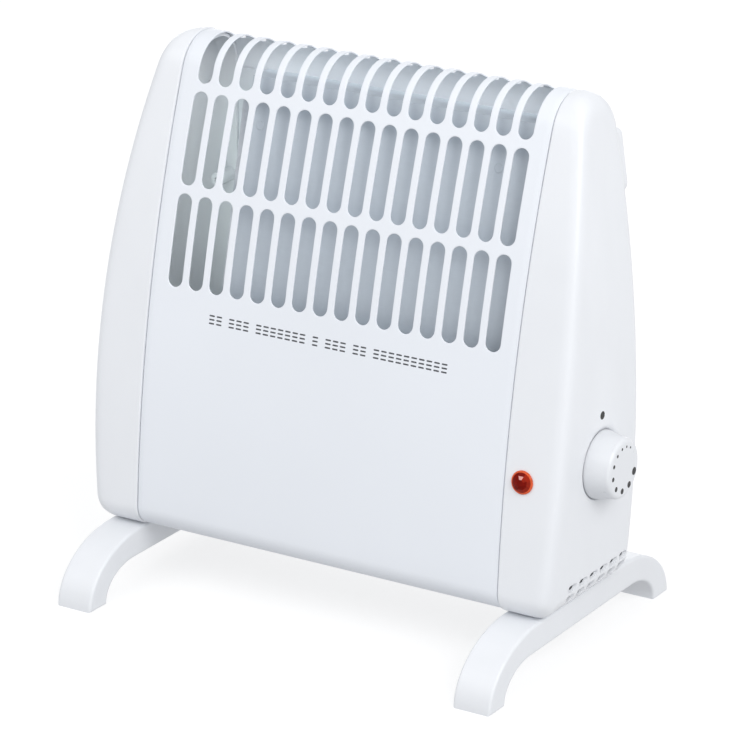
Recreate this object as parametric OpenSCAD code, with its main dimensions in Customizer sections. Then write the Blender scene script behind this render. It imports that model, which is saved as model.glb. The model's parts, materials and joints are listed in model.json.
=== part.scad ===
// Small free-standing convector heater: a slotted steel casing between two moulded end caps,
// on two arched feet, with a thermostat knob on the right-hand side and a lamp beside the panel.
// Millimetres. +X to the right seen from the front, the front faces -Y, +Z up, floor at Z = 0.

/* [Casing] */
// Overall height above the floor
total_h = 274; // [270:0.5:280]
// Height of the casing's underside above the floor, which is the height of the feet
base_z = 31; // [29:0.5:33]
// Width of the steel front panel between the end caps
panel_w = 208; // [206:1:212]
// Greatest width over the two end caps
body_w = 270.2; // [269:0.2:273]
// Y of the flat rear face
rear_y = 37.5; // [36:0.5:40]
// Radius of the gentle bulge of the front face, and of the sphere each side face is part of
bulge_r = 750; // [700:10:800]
// Height at which the side faces are widest
widest_z = 110; // [100:1:115]
// Y at which the side faces are widest
widest_y = 7.3; // [0:0.1:15]
// Radius of the two lower corners of the side outline
corner_r = 12; // [11.8:0.1:13]
// Radius where the front runs over into the top
crest_r = 21; // [20:0.5:24]
// Radius of the upper rear corner
shoulder_r = 18; // [14:0.5:18]
// Rounding between a cap's rim and its side face
edge_r = 10; // [9:0.5:11.5]
// Wall thickness of the moulded caps
cap_wall = 2.5; // [2:0.1:3]
// Thickness of the steel sheet
sheet_t = 0.8; // [0.6:0.1:1]

/* [Slots] */
// Number of slots in each of the three front rows
slot_count = 16; // [14:1:16]
// Distance from slot to slot
slot_pitch = 12; // [11:0.1:12]
// Width of one slot
slot_w = 8.3; // [6:0.1:9]
// Length of one slot, measured along the sheet
slot_len = 46.2; // [40:0.2:47]
// Metal left between two rows, measured along the sheet
slot_gap = 4.1; // [3:0.1:5]
// Height of the lowest point of the bottom row
slot_z = 156.7; // [150:0.1:160]

/* [Feet] */
// Overall front-to-back length of a foot
foot_len = 177; // [170:1:184]
// Thickness of a foot
foot_w = 20.2; // [18:0.2:21]
// Length of each sole along Y
sole_len = 14.3; // [12:0.1:16]
// Height of the arch between the two soles
arch_h = 16.5; // [15:0.5:18]

/* [Thermostat and lamp] */
// Height of the knob's axis above the floor
knob_z = 100.7; // [98:0.1:104]
// Y of the knob's axis
knob_y = -4.3; // [-6:0.1:0]
// Radius of the knob at its foot
knob_r = 16.8; // [15:0.1:17]
// Radius of the knob's flat front
knob_face_r = 14.9; // [13:0.1:15]
// Length of the knob along its axis
knob_len = 13.2; // [11:0.1:14]
// How far the knob's foot lies below the side face, in its round recess
knob_sink = 1.2; // [0.8:0.1:1.4]
// Radius of the spindle
spindle_r = 3; // [2.5:0.1:3]
// Height of the indicator lens
lens_z = 99.7; // [95:0.1:110]
// Radius of the indicator lens's rim
lens_r = 5.75; // [5:0.05:6]

/* [Heating element] */
// Height of the element's axis
element_z = 82; // [78:1:86]
// Number of fins on the element
fin_count = 23; // [15:1:23]
// Width and height of one fin
fin_size = [40, 46];

/* [Rear and mains inlet] */
// Radius of the entry of a wall-hanging keyhole
key_r = 4.5; // [4:0.1:5]
// Height of the keyholes' entries
key_z = 227; // [225:1:229]
// Bore radius of the cable inlet bush, for a 7 mm flexible cord
inlet_r = 3.6; // [3.5:0.1:4]
// Height of the cable inlet bush
inlet_z = 60; // [58:1:66]

/* [Hidden] */
$fn = 48;

seam_x = panel_w / 2;
lip = 0.6;                        // how far a cap stands proud of the sheet
gap = 0.3;                        // clearance between parts that only meet
cut = 1;                          // how far a cutter reaches past a face
tongue_in = lip + sheet_t + gap;  // the caps' tongues lie inside the sheet
tongue_out = tongue_in + 2;
tongue_x = seam_x - 8;

// Centre of the front face's arc, and the centres of the outline's corner arcs, as [y, z]
front_c = [701, -2.5];
low_front_c = [front_c[0] - sqrt(pow(bulge_r - corner_r, 2) - pow(base_z + corner_r - front_c[1], 2)),
               base_z + corner_r];
crest_c = [front_c[0] - sqrt(pow(bulge_r - crest_r, 2) - pow(total_h - crest_r - front_c[1], 2)),
           total_h - crest_r];
shoulder_c = [rear_y - shoulder_r, total_h - shoulder_r];
low_rear_c = [rear_y - corner_r, base_z + corner_r];

// Where the front arc begins and ends, in degrees above the level line through its centre
front_a0 = asin((low_front_c[1] - front_c[1]) / (bulge_r - corner_r));
front_a1 = asin((crest_c[1] - front_c[1]) / (bulge_r - crest_r));

corner_n = 6;
side_n = 12;
crest_n = 8;

// The whole model is shifted so that the knob and the far cap are equally far from X = 0
knob_x = body_w / 2 - knob_sink;
recess_x = knob_x - 0.7;          // floor of the recess around the knob
recess_r = knob_r + 0.8;
shift_x = -(knob_x + knob_len - body_w / 2) / 2;

// ---- outline of the casing in the Y-Z plane, inset by d ----

function arc(c, r, a0, a1, n, first = 0, last = 0) =
    [for (i = [first : n - last]) let (a = a0 + (a1 - a0) * i / n) c + r * [cos(a), sin(a)]];

function front_chain(d) = concat(
    arc(low_front_c, corner_r - d, 270, 180 - front_a0, corner_n),
    arc(front_c, bulge_r - d, 180 - front_a0, 180 - front_a1, side_n, 1, 1),
    arc(crest_c, crest_r - d, 180 - front_a1, 90, crest_n));

function rear_chain(d) = concat(
    arc(low_rear_c, corner_r - d, 270, 360, corner_n),
    [for (i = [1 : side_n - 1])
        [rear_y - d, low_rear_c[1] + (shoulder_c[1] - low_rear_c[1]) * i / side_n]],
    arc(shoulder_c, shoulder_r - d, 0, 90, crest_n));

function reversed(v) = [for (i = [len(v) - 1 : -1 : 0]) v[i]];
function outline(d) = concat(front_chain(d), reversed(rear_chain(d)));

// Half width of the casing at a point [y, z], on the sphere of the side face
function half_w(p) = body_w / 2 - bulge_r
    + sqrt(pow(bulge_r, 2) - pow(p[0] - widest_y, 2) - pow(p[1] - widest_z, 2));

// Y of the casing's front at height z, inset by d
function front_y(z, d) = front_c[0] - sqrt(pow(bulge_r - d, 2) - pow(z - front_c[1], 2));

// Tilt of the front face at height z, in degrees
function front_tilt(z) = asin((z - front_c[1]) / bulge_r);

// ---- small helpers ----

// Extrudes a Y-Z drawing along X, from x0 to x1
module along_x(x0, x1) {
    translate([x0, 0, 0]) rotate([90, 0, 90]) linear_extrude(height = x1 - x0) children();
}

// Extrudes an X-Z drawing along +Y, from y0 to y1
module along_y(y0, y1) {
    translate([0, y1, 0]) rotate([90, 0, 0]) linear_extrude(height = y1 - y0) children();
}

module x_rod(x0, x1, y, z, r) {
    translate([x0, y, z]) rotate([0, 90, 0]) cylinder(h = x1 - x0, r = r);
}

module y_rod(x, y0, y1, z, r) {
    translate([x, y0, z]) rotate([-90, 0, 0]) cylinder(h = y1 - y0, r = r);
}

module z_rod(x, y, z0, z1, r) {
    translate([x, y, z0]) cylinder(h = z1 - z0, r = r);
}

module box(low, high) {
    translate(low) cube(high - low);
}

module both_sides() {
    children();
    mirror([1, 0, 0]) children();
}

// A round-ended slot standing on its lower end, as a drawing
module slot_shape(w, len) {
    translate([-w / 2, w / 2]) square([w, len - w]);
    translate([0, w / 2]) circle(d = w);
    translate([0, len - w / 2]) circle(d = w);
}

// A flat strip of sheet between two points of a drawing, t thick on its left-hand side
module strip(p, q, t) {
    n = [p[1] - q[1], q[0] - p[0]] / norm(q - p);
    polygon([p, q, q + n * t, p + n * t]);
}

// A pan-head screw along +Z: the head's underside at 0, the shank below it
module screw(head_r, head_h, shank_r, shank_l) {
    difference() {
        rotate_extrude() polygon([[0, 0], [head_r, 0], [head_r, head_h * 0.35],
                                  [head_r * 0.72, head_h * 0.9], [head_r * 0.4, head_h], [0, head_h]]);
        for (a = [0, 90])
            rotate(a) translate([-head_r * 0.55, -0.35, head_h * 0.45]) cube([head_r * 1.1, 0.7, head_h]);
    }
    translate([0, 0, -shank_l]) cylinder(h = shank_l + 0.01, r = shank_r);
    translate([0, 0, -shank_l - shank_r]) cylinder(h = shank_r, r1 = 0.3, r2 = shank_r);
}

// ---- swept wires ----

function blend_point(a, b, c, d, t) =
    0.5 * (2 * b + (c - a) * t + (2 * a - 5 * b + 4 * c - d) * t * t + (3 * b - a - 3 * c + d) * t * t * t);

function smooth_path(p, n) = let (m = len(p) - 1) concat(
    [for (i = [0 : m - 1], k = [0 : n - 1])
        blend_point(p[max(i - 1, 0)], p[i], p[i + 1], p[min(i + 2, m)], k / n)],
    [p[m]]);

function unit(v) = v / norm(v);
function tangents(p) = let (m = len(p) - 1)
    [for (i = [0 : m]) unit(p[min(i + 1, m)] - p[max(i - 1, 0)])];
function side_vectors(t, u, i = 0) = i == len(t) ? [] :
    let (v = unit(u - (u * t[i]) * t[i])) concat([v], side_vectors(t, v, i + 1));

module wire(route, r, n = 4, sides = 8) {
    p = smooth_path(route, n);
    t = tangents(p);
    u = side_vectors(t, unit(cross(t[0], [0.31, 0.52, 0.79])));
    points = [for (k = [0 : len(p) - 1], s = [0 : sides - 1])
        p[k] + r * (cos(360 * s / sides) * u[k] + sin(360 * s / sides) * cross(t[k], u[k]))];
    last = (len(p) - 1) * sides;
    polyhedron(points, concat(
        [[for (s = [0 : sides - 1]) s]],
        [for (k = [0 : len(p) - 2], s = [0 : sides - 1]) let (s1 = (s + 1) % sides)
            [k * sides + s, (k + 1) * sides + s, (k + 1) * sides + s1, k * sides + s1]],
        [[for (s = [sides - 1 : -1 : 0]) last + s]]), convexity = 6);
}

// ---- casing ----

// A band of sheet that follows the outline from point a to point b of a list of outline points
function band(from_pts, to_pts) = concat(from_pts, reversed(to_pts));

front_flange = 14;
rear_flange_z = 238;

function front_sheet(d) = concat(
    [[low_front_c[0] + front_flange, base_z + d]],
    front_chain(d),
    reversed(arc(shoulder_c, shoulder_r - d, 0, 90, crest_n)),
    [[rear_y - d, rear_flange_z]]);

// Angles on the front arc at which the rows begin, from the bottom row up
row_step = (slot_len + slot_gap) / bulge_r * 180 / PI;
row_a = [for (i = [0 : 2]) asin((slot_z - front_c[1]) / bulge_r) + i * row_step];

// The top row runs from the front arc over the crest and ends on the rear shoulder
top_a = row_a[2] + slot_w / 2 / bulge_r * 180 / PI;
crest_len = (front_a1 - row_a[2]) * PI / 180 * bulge_r
    + (90 - front_a1) * PI / 180 * (crest_r - lip) + shoulder_c[0] - crest_c[0];
end_a = 90 - (slot_len - slot_w / 2 - crest_len) / (shoulder_r - lip) * 180 / PI;

function top_row_edge(d) = concat(
    [front_c + (bulge_r - d) * [-cos(top_a), sin(top_a)]],
    arc(crest_c, crest_r - d, 180 - front_a1, 90, crest_n),
    arc(shoulder_c, shoulder_r - d, 90, end_a, crest_n));

module front_slot(a, len = slot_len) {
    translate([0, front_c[0], front_c[1]]) rotate([-a, 0, 0]) translate([0, -bulge_r + 4, 0])
        rotate([90, 0, 0]) linear_extrude(height = 8) slot_shape(slot_w, len);
}

module top_slot() {
    along_x(-slot_w / 2, slot_w / 2) polygon(band(top_row_edge(-cut), top_row_edge(3)));
    front_slot(row_a[2], slot_w + 3);
    translate([0, shoulder_c[0], shoulder_c[1]]) rotate([end_a - 90, 0, 0])
        translate([0, 0, shoulder_r - 3]) cylinder(h = 3 + cut, d = slot_w);
}

rear_screw_x = [-62, 0, 62];
rear_screw_z = rear_flange_z + 7;
cap_screw_x = seam_x - 4.2;
cap_screw_z = [66, 196];
base_screw = [82, 6.5];          // X, and the distance of the screw from the flange's edge
flange_edge_y = low_front_c[0] + front_flange;
rear_flange_y = 10;

module front_panel() {
    color("whitesmoke") difference() {
        along_x(-seam_x + gap, seam_x - gap) polygon(band(front_sheet(lip), front_sheet(lip + sheet_t)));
        for (i = [0 : slot_count - 1]) translate([(i - (slot_count - 1) / 2) * slot_pitch, 0, 0]) {
            front_slot(row_a[0]);
            front_slot(row_a[1]);
            top_slot();
        }
        for (x = rear_screw_x) y_rod(x, rear_y - 4, rear_y + cut, rear_screw_z, 1.9);
        for (x = [-1, 1]) z_rod(x * base_screw[0], flange_edge_y - base_screw[1], base_z - cut, base_z + 3, 1.9);
    }
}

// The back panel steps in by one sheet thickness to pass under the front panel's rear flange
joggle_d = lip + sheet_t + gap;
function back_sheet(d, e) = concat(
    [[rear_flange_y, base_z + d]],
    arc(low_rear_c, corner_r - d, 270, 360, corner_n),
    [[rear_y - d, rear_flange_z - 4], [rear_y - e, rear_flange_z - 1], [rear_y - e, rear_flange_z + 14]]);

inlet_w = 6;
inlet_len = 38;
inlet_rows = [112, 154];
low_row = 70;
inlet_columns = 15;
bush_x = 84;

module back_panel() {
    color("whitesmoke") difference() {
        along_x(-seam_x + gap, seam_x - gap)
            polygon(band(back_sheet(lip, joggle_d), back_sheet(lip + sheet_t, joggle_d + sheet_t)));
        along_y(rear_y - 4, rear_y + cut) {
            for (i = [0 : inlet_columns - 1], z = inlet_rows)
                translate([(i - (inlet_columns - 1) / 2) * slot_pitch, z]) slot_shape(inlet_w, inlet_len);
            for (i = [0 : inlet_columns - 4])
                translate([(i - (inlet_columns - 1) / 2) * slot_pitch, low_row]) slot_shape(inlet_w, inlet_len);
        }
        for (x = rear_screw_x) y_rod(x, rear_y - 4, rear_y + cut, rear_screw_z, 1.3);
        for (s = [-1, 1], z = cap_screw_z) y_rod(s * cap_screw_x, rear_y - 4, rear_y + cut, z, 1.9);
        for (s = [-1, 1]) z_rod(s * base_screw[0], rear_flange_y + base_screw[1], base_z - cut, base_z + 3, 1.9);
        y_rod(bush_x, rear_y - 4, rear_y + cut, inlet_z, 6.5);
        y_rod(bush_x - 18, rear_y - 4, rear_y + cut, inlet_z - 12, 1.9);
        both_sides() box([tongue_x - 0.5, rear_y - 5, rear_flange_z - 3.5], [seam_x, rear_y + cut, rear_flange_z + 20]);
    }
}

// X of the two end plates that carry the heating element
end_plate_x = [-70, 84];

grille_z = base_z + joggle_d;
grille_x = tongue_x - 0.5;
grille_y = [-32, 22];
rib_x = end_plate_x + [1.5, -1.5];

module base_grille() {
    color("gainsboro") difference() {
        union() {
            box([-grille_x, grille_y[0], grille_z], [grille_x, grille_y[1], grille_z + sheet_t]);
            for (y = [-13.2, 2.4])
                box([rib_x[0], y, grille_z], [rib_x[1], y + sheet_t, grille_z + 5]);
        }
        for (i = [0 : 13], y = [-12, 3.6])
            translate([(i - 6.5) * slot_pitch, y, grille_z - cut])
                linear_extrude(height = 3) slot_shape(5, y > 0 ? 6 : 14);
        for (i = [0 : 13])
            translate([(i - 6.5) * slot_pitch, -20.6, grille_z - cut]) linear_extrude(height = 3) slot_shape(5, 6.6);
        for (s = [-1, 1]) {
            z_rod(s * base_screw[0], flange_edge_y - base_screw[1], grille_z - cut, grille_z + 3, 1.3);
            z_rod(s * base_screw[0], rear_flange_y + base_screw[1], grille_z - cut, grille_z + 3, 1.3);
        }
    }
}

// ---- end caps ----

// One ring of a cap's skin: the outline inset by d, no further out than x and never nearer
// to the bulged side surface than drop
function cap_ring(d, x, drop) = [for (p = outline(d)) [min(x, half_w(p) - drop), p[0], p[1]]];

far = 999;
inner_r = edge_r - cap_wall;
step_x = seam_x + 2.5;

// The rings run from the middle of the inside, back to the tongue's edge, and over the outside
cap_rings = concat(
    [for (a = [90 : -22.5 : 0])
        cap_ring(cap_wall + inner_r * (1 - cos(a)), far, cap_wall + inner_r * (1 - sin(a)))],
    [cap_ring(cap_wall, step_x, edge_r + 0.05),
     cap_ring(tongue_out, step_x, edge_r + 0.05),
     cap_ring(tongue_out, tongue_x, -far),
     cap_ring(tongue_in, tongue_x, -far),
     cap_ring(tongue_in, seam_x, -far),
     cap_ring(0, seam_x, -far)],
    [for (a = [0 : 15 : 90]) cap_ring(edge_r * (1 - cos(a)), far, edge_r * (1 - sin(a)))]);

// Points that fill a ring's middle: rows of them between its front half and its rear half,
// without the lowest and the highest row
face_n = 4;
function face_points(ring, drop) = let (n = len(ring))
    [for (k = [1 : n / 2 - 2], j = [1 : face_n - 1])
        let (a = ring[k], b = ring[n - 1 - k], p = a + (b - a) * j / face_n)
        [half_w([p[1], p[2]]) - drop, p[1], p[2]]];

// The indices of row k from front to rear: its two ends are the ring's own points
function face_row(k, ring_at, extra_at, n) = concat(
    [ring_at + k],
    [for (j = [1 : face_n - 1]) extra_at + (k - 1) * (face_n - 1) + j - 1],
    [ring_at + n - 1 - k]);

// Triangles between a row and the two points of the edge below or above it
function edge_tris(row, a, b, up) = let (mid = face_n / 2) concat(
    [for (j = [0 : face_n - 1]) let (e = j < mid ? a : b)
        up ? [row[j], e, row[j + 1]] : [e, row[j], row[j + 1]]],
    [up ? [row[mid], a, b] : [a, row[mid], b]]);

function face_tris(ring_at, extra_at, n) = let (top = n / 2 - 1) concat(
    edge_tris(face_row(1, ring_at, extra_at, n), ring_at, ring_at + n - 1, false),
    [for (k = [1 : top - 2]) let (p = face_row(k, ring_at, extra_at, n), q = face_row(k + 1, ring_at, extra_at, n))
        for (j = [0 : face_n - 1]) each [[p[j], q[j], q[j + 1]], [p[j], q[j + 1], p[j + 1]]]],
    edge_tris(face_row(top - 1, ring_at, extra_at, n), ring_at + top, ring_at + top + 1, true));

module cap_shell() {
    n = len(cap_rings[0]);
    m = len(cap_rings);
    inner_face = face_points(cap_rings[0], cap_wall);
    outer_face = face_points(cap_rings[m - 1], 0);
    polyhedron(
        concat([for (ring = cap_rings, p = ring) p], inner_face, outer_face),
        concat([for (k = [0 : m - 2], i = [0 : n - 1]) let (j = (i + 1) % n, a = k * n, b = a + n)
                    each [[a + i, a + j, b + j], [a + i, b + j, b + i]]],
               [for (t = face_tris(0, m * n, n)) [t[0], t[2], t[1]]],
               face_tris((m - 1) * n, m * n + len(inner_face), n)),
        convexity = 8);
}

foot_mid_x = seam_x + foot_w / 2;
foot_screw_y = [-27, 22];
vent_z = [37.7, 43.1];
vent_y0 = -23.9;
vent_size = [7.6, 3.6];
vent_pitch = 9.8;
spacer_screw = [108.5, key_z + 16];
spacer_key_x = 104;

// What both caps share: the shell, bosses for the foot screws and for the rear screws, and the vents
module plain_cap() {
    difference() {
        union() {
            cap_shell();
            for (y = foot_screw_y) z_rod(foot_mid_x, y, base_z + 1.5, base_z + 15, 4);
            for (z = cap_screw_z) y_rod(cap_screw_x, rear_y - 16, rear_y - tongue_out + 0.5, z, 3.4);
            y_rod(spacer_screw[0], rear_y - 14, rear_y - 1, spacer_screw[1], 3.4);
        }
        for (y = foot_screw_y) z_rod(foot_mid_x, y, base_z - cut, base_z + 13, 1.3);
        for (z = cap_screw_z) y_rod(cap_screw_x, rear_y - 14, rear_y, z, 1.3);
        y_rod(spacer_screw[0], rear_y - 12, rear_y + cut, spacer_screw[1], 1.3);
        for (i = [0 : 5], z = vent_z) translate([0, vent_y0 + i * vent_pitch, z])
            along_x(seam_x + 15, body_w / 2 + cut) translate([-vent_size[0] / 2, 0])
                rotate(-90) slot_shape(vent_size[1], vent_size[0]);
    }
}

lens_x = seam_x + 9.6;
bracket_x = 118;
bracket_t = 1.2;
bracket_screw = 18;

module lens_place() {
    translate([lens_x, front_y(lens_z, 0), lens_z]) rotate([90 - front_tilt(lens_z), 0, 0]) children();
}

module left_end_cap() {
    color("white") mirror([1, 0, 0]) plain_cap();
}

module right_end_cap() {
    color("white") difference() {
        union() {
            plain_cap();
            x_rod(recess_x - 3, recess_x + 1, knob_y, knob_z, recess_r + 2.5);
            for (s = [-1, 1])
                x_rod(bracket_x + bracket_t, recess_x - 1, knob_y, knob_z + s * bracket_screw, 3.4);
        }
        x_rod(recess_x, body_w / 2 + cut, knob_y, knob_z, recess_r);
        for (s = [-1, 1])
            x_rod(bracket_x, bracket_x + bracket_t + 11, knob_y, knob_z + s * bracket_screw, 1.2);
        x_rod(bracket_x + 8, body_w / 2 + cut, knob_y, knob_z, 6.2);
        lens_place() translate([0, 0, -8]) cylinder(h = 12, r = 4.6);
    }
}

// ---- feet ----

heel_y = foot_len / 2;
shoulder_l = 46.5;                // length of each outer shoulder's quarter ellipse
arch_l = 24.2;                    // length of each end of the arch

function quarter(cy, a, b, t0, t1, n) = [for (i = [0 : n]) let (t = t0 + (t1 - t0) * i / n) [cy + a * cos(t), b * sin(t)]];

module foot_shape() {
    inner_y = heel_y - sole_len;
    polygon(concat(
        quarter(heel_y - shoulder_l, shoulder_l, base_z, 0, 90, 14),
        quarter(shoulder_l - heel_y, shoulder_l, base_z, 90, 180, 14),
        quarter(arch_l - inner_y, arch_l, arch_h, 180, 90, 10),
        quarter(inner_y - arch_l, arch_l, arch_h, 90, 0, 10)));
}

pocket_z = base_z - 3.5;
pockets = [[-58, -18], [-14, 13], [17, 58]];

module right_foot_solid() {
    difference() {
        along_x(seam_x, seam_x + foot_w) foot_shape();
        for (p = pockets) box([seam_x + 3, p[0], 0], [seam_x + foot_w - 3, p[1], pocket_z]);
        for (y = foot_screw_y) z_rod(foot_mid_x, y, pocket_z - cut, base_z + cut, 2.1);
    }
}

module left_foot() {
    color("white") mirror([1, 0, 0]) right_foot_solid();
}

module right_foot() {
    color("white") right_foot_solid();
}

// ---- wall spacers, each with a keyhole ----

spacer_y = 50.5;
key_wall = 3.5;                   // thickness of the wall that the keyhole is cut in
spacer_z = [217, 249];
spacer_low_x = spacer_key_x - 8;
spacer_top_x = 113.2;            // the outer side follows the taper of the casing
spacer_foot_x = 116.6;

module right_spacer_solid() {
    difference() {
        along_y(rear_y, spacer_y) polygon([
            [spacer_low_x, spacer_z[0] + 2], [spacer_low_x + 2, spacer_z[0]],
            [spacer_foot_x - 5, spacer_z[0]], [spacer_foot_x, spacer_z[0] + 6],
            [spacer_top_x, spacer_z[1] - 3], [spacer_top_x - 3, spacer_z[1]],
            [spacer_low_x + 2, spacer_z[1]], [spacer_low_x, spacer_z[1] - 2]]);
        y_rod(spacer_key_x, rear_y + 3, spacer_y + cut, key_z, key_r);
        along_y(spacer_y - key_wall, spacer_y + cut) translate([spacer_key_x, key_z]) slot_shape(4.6, 11.5);
        along_y(rear_y + 3, spacer_y - key_wall + 0.5) translate([spacer_key_x - key_r, key_z]) square([2 * key_r, 9]);
        y_rod(spacer_screw[0], rear_y - cut, rear_y + 5, spacer_screw[1], 1.9);
        y_rod(spacer_screw[0], rear_y + 4, spacer_y + cut, spacer_screw[1], 3.6);
    }
}

module left_wall_spacer() {
    color("white") mirror([1, 0, 0]) right_spacer_solid();
}

module right_wall_spacer() {
    color("white") right_spacer_solid();
}

// ---- fasteners of the casing ----

module foot_screws() {
    color("silver") both_sides() for (y = foot_screw_y)
        translate([foot_mid_x, y, pocket_z]) rotate([180, 0, 0]) screw(3.6, 2.2, 1.3, 14);
}

module panel_screws() {
    color("silver") for (x = rear_screw_x)
        translate([x, rear_y - lip, rear_screw_z]) rotate([-90, 0, 0]) screw(3.2, 2, 1.3, 6);
}

module cap_screws() {
    color("silver") both_sides() for (z = cap_screw_z)
        translate([cap_screw_x, rear_y - lip, z]) rotate([-90, 0, 0]) screw(3.2, 2, 1.3, 10);
}

module base_screws() {
    color("silver") both_sides() for (y = [flange_edge_y - base_screw[1], rear_flange_y + base_screw[1]])
        translate([base_screw[0], y, base_z + lip]) rotate([180, 0, 0]) screw(3, 0.9, 1.3, 5);
}

module spacer_screws() {
    color("silver") both_sides()
        translate([spacer_screw[0], rear_y + 4, spacer_screw[1]]) rotate([-90, 0, 0]) screw(3.2, 2, 1.3, 12);
}

// ---- thermostat ----

flat_x = knob_x + 1;             // where the spindle's flat begins
spindle_tip = 109;
spindle_flat = 2.2;

module dee_section(r, flat) {
    difference() {
        circle(r = r);
        translate([flat, -r - 1]) square([2 * r, 2 * r + 2]);
    }
}

module thermostat_knob() {
    color("white") translate([0, knob_y, knob_z]) difference() {
        union() {
            difference() {
                rotate([0, 90, 0]) rotate_extrude() polygon(concat(
                    [[0, knob_x], [knob_r - 0.5, knob_x], [knob_r, knob_x + 0.5]],
                    arc([knob_face_r - 2.2, knob_x + knob_len - 2.2], 2.2, 10, 90, 6),
                    [[0, knob_x + knob_len]]));
                translate([knob_x - cut, 0, 0]) rotate([0, 90, 0])
                    cylinder(h = knob_len - 2.4 + cut, r = knob_face_r - 2.4);
            }
            translate([knob_x, 0, 0]) rotate([0, 90, 0]) cylinder(h = knob_len - 1, r = 6);
            for (a = [0 : 60 : 300]) rotate([a, 0, 0])
                translate([knob_x + 3, -0.6, 5]) cube([knob_len - 4, 1.2, knob_face_r - 6.5]);
        }
        translate([knob_x - cut, 0, 0]) rotate([0, 90, 0]) linear_extrude(height = 8.5 + cut)
            dee_section(spindle_r + 0.05, spindle_flat + 0.05);
        translate([knob_x - cut, 0, 0]) rotate([0, 90, 0])
            cylinder(h = 1.2 + cut, r = spindle_r + 0.4);
    }
}

module thermostat_spindle() {
    color("silver") translate([0, knob_y, knob_z]) {
        translate([spindle_tip + 2, 0, 0]) rotate([0, 90, 0]) cylinder(h = flat_x - spindle_tip - 2, r = spindle_r);
        translate([flat_x, 0, 0]) rotate([0, 90, 0]) linear_extrude(height = knob_x + 8 - flat_x)
            dee_section(spindle_r, spindle_flat);
        translate([spindle_tip, 0, 0]) rotate([0, 90, 0]) cylinder(h = 2, r = 1.6);
        translate([bracket_x - 3.5, 0, 0]) rotate([0, 90, 0]) cylinder(h = 1, r = 4);
    }
}

module thermostat_bushing() {
    color("goldenrod") translate([0, knob_y, knob_z]) rotate([0, 90, 0]) difference() {
        union() {
            translate([0, 0, bracket_x - 2.2]) cylinder(h = 2.2, r = 5.5);
            translate([0, 0, bracket_x]) cylinder(h = 9, r = 4);
        }
        translate([0, 0, bracket_x - 3]) cylinder(h = 14, r = spindle_r + 0.05);
    }
}

module thermostat_nut() {
    color("silver") translate([bracket_x + bracket_t, knob_y, knob_z]) rotate([0, 90, 0]) difference() {
        cylinder(h = 2.4, r = 6.4, $fn = 6);
        translate([0, 0, -cut]) cylinder(h = 5, r = 4);
    }
}

stack_z = knob_z + 15.5;
stack_y = 8;                      // width of the blades

module thermostat_bracket() {
    color("lightsteelblue") difference() {
        union() {
            box([bracket_x, knob_y - 9, knob_z - 24], [bracket_x + bracket_t, knob_y + 9, knob_z + 24]);
            box([bracket_x - 19, knob_y - 9, knob_z + 22.8], [bracket_x + bracket_t, knob_y + 9, knob_z + 24]);
        }
        x_rod(bracket_x - cut, bracket_x + 3, knob_y, knob_z, 4);
        for (s = [-1, 1]) x_rod(bracket_x - cut, bracket_x + 3, knob_y, knob_z + s * bracket_screw, 1.7);
    }
}

module thermostat_screws() {
    color("silver") for (s = [-1, 1])
        translate([bracket_x, knob_y, knob_z + s * bracket_screw]) rotate([0, -90, 0]) screw(3, 1.8, 1.2, 9);
}

// The stack of ceramic collars that clamps the blades' upper ends, hung from the bracket's arm
blade_x = [107, 102];            // X of the contact blade and of the bimetal strip
blade_t = 0.5;
pivot_r = 1;                      // rolled edge on which the contact blade turns
pivot = [blade_x[0] + blade_t / 2, stack_z + 2.2];

module thermostat_stack() {
    color("linen") difference() {
        box([99, knob_y - 6, stack_z], [111.5, knob_y + 6, knob_z + 22.8]);
        box([blade_x[0] - 0.8, knob_y - 4.4, stack_z - cut], [blade_x[0] + blade_t + 0.8, knob_y + 4.4, stack_z + 4]);
        box([blade_x[1] - 0.02, knob_y - 4.02, stack_z - cut], [blade_x[1] + blade_t + 0.02, knob_y + 4.02, stack_z + 6]);
        y_rod(pivot[0], knob_y - 4.4, knob_y + 4.4, pivot[1], pivot_r + 0.05);
    }
}

module bimetal_strip() {
    color("goldenrod") {
        box([blade_x[1], knob_y - 4, knob_z - 18], [blade_x[1] + blade_t, knob_y + 4, stack_z + 6]);
        x_rod(blade_x[1] + blade_t, blade_x[1] + blade_t + 0.9, knob_y, knob_z - 14, 1.8);
    }
}

module contact_blade() {
    color("peru") {
        box([blade_x[0], knob_y - 4, knob_z - 18], [blade_x[0] + blade_t, knob_y + 4, pivot[1]]);
        y_rod(pivot[0], knob_y - 4, knob_y + 4, pivot[1], pivot_r);
        x_rod(blade_x[0] - 0.9, blade_x[0], knob_y, knob_z - 14, 1.8);
        x_rod(blade_x[0] + blade_t, blade_x[0] + blade_t + 1.2, knob_y, knob_z, 2.2);
    }
}

// ---- indicator ----

module indicator_lens() {
    color([0.9, 0.25, 0.08, 0.8]) lens_place() difference() {
        union() {
            cylinder(h = 1.2, r = lens_r);
            translate([0, 0, 1.2]) cylinder(h = 1.9, r1 = lens_r - 0.9, r2 = 2.6, $fn = 12);
            translate([0, 0, -11]) cylinder(h = 11.5, r = 4.5);
        }
        translate([0, 0, -12]) cylinder(h = 12.2, r = 3);
    }
}

module lens_clip() {
    color("silver") lens_place() difference() {
        translate([0, 0, -cap_wall - 1]) cylinder(h = 0.8, r = 7);
        translate([0, 0, -5]) cylinder(h = 4, r = 4.52);
        for (a = [0 : 60 : 300]) rotate(a) translate([4, -0.5, -5]) cube([2, 1, 4]);
    }
}

module neon_lamp() {
    color([1, 0.75, 0.5, 0.6]) lens_place() {
        translate([0, 0, -11]) cylinder(h = 8.5, r = 2.4);
        translate([0, 0, -2.5]) cylinder(h = 1.6, r1 = 2.4, r2 = 0.8);
        for (s = [-1, 1]) translate([s * 1.1, 0, -16]) cylinder(h = 5, r = 0.4);
    }
}

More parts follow.
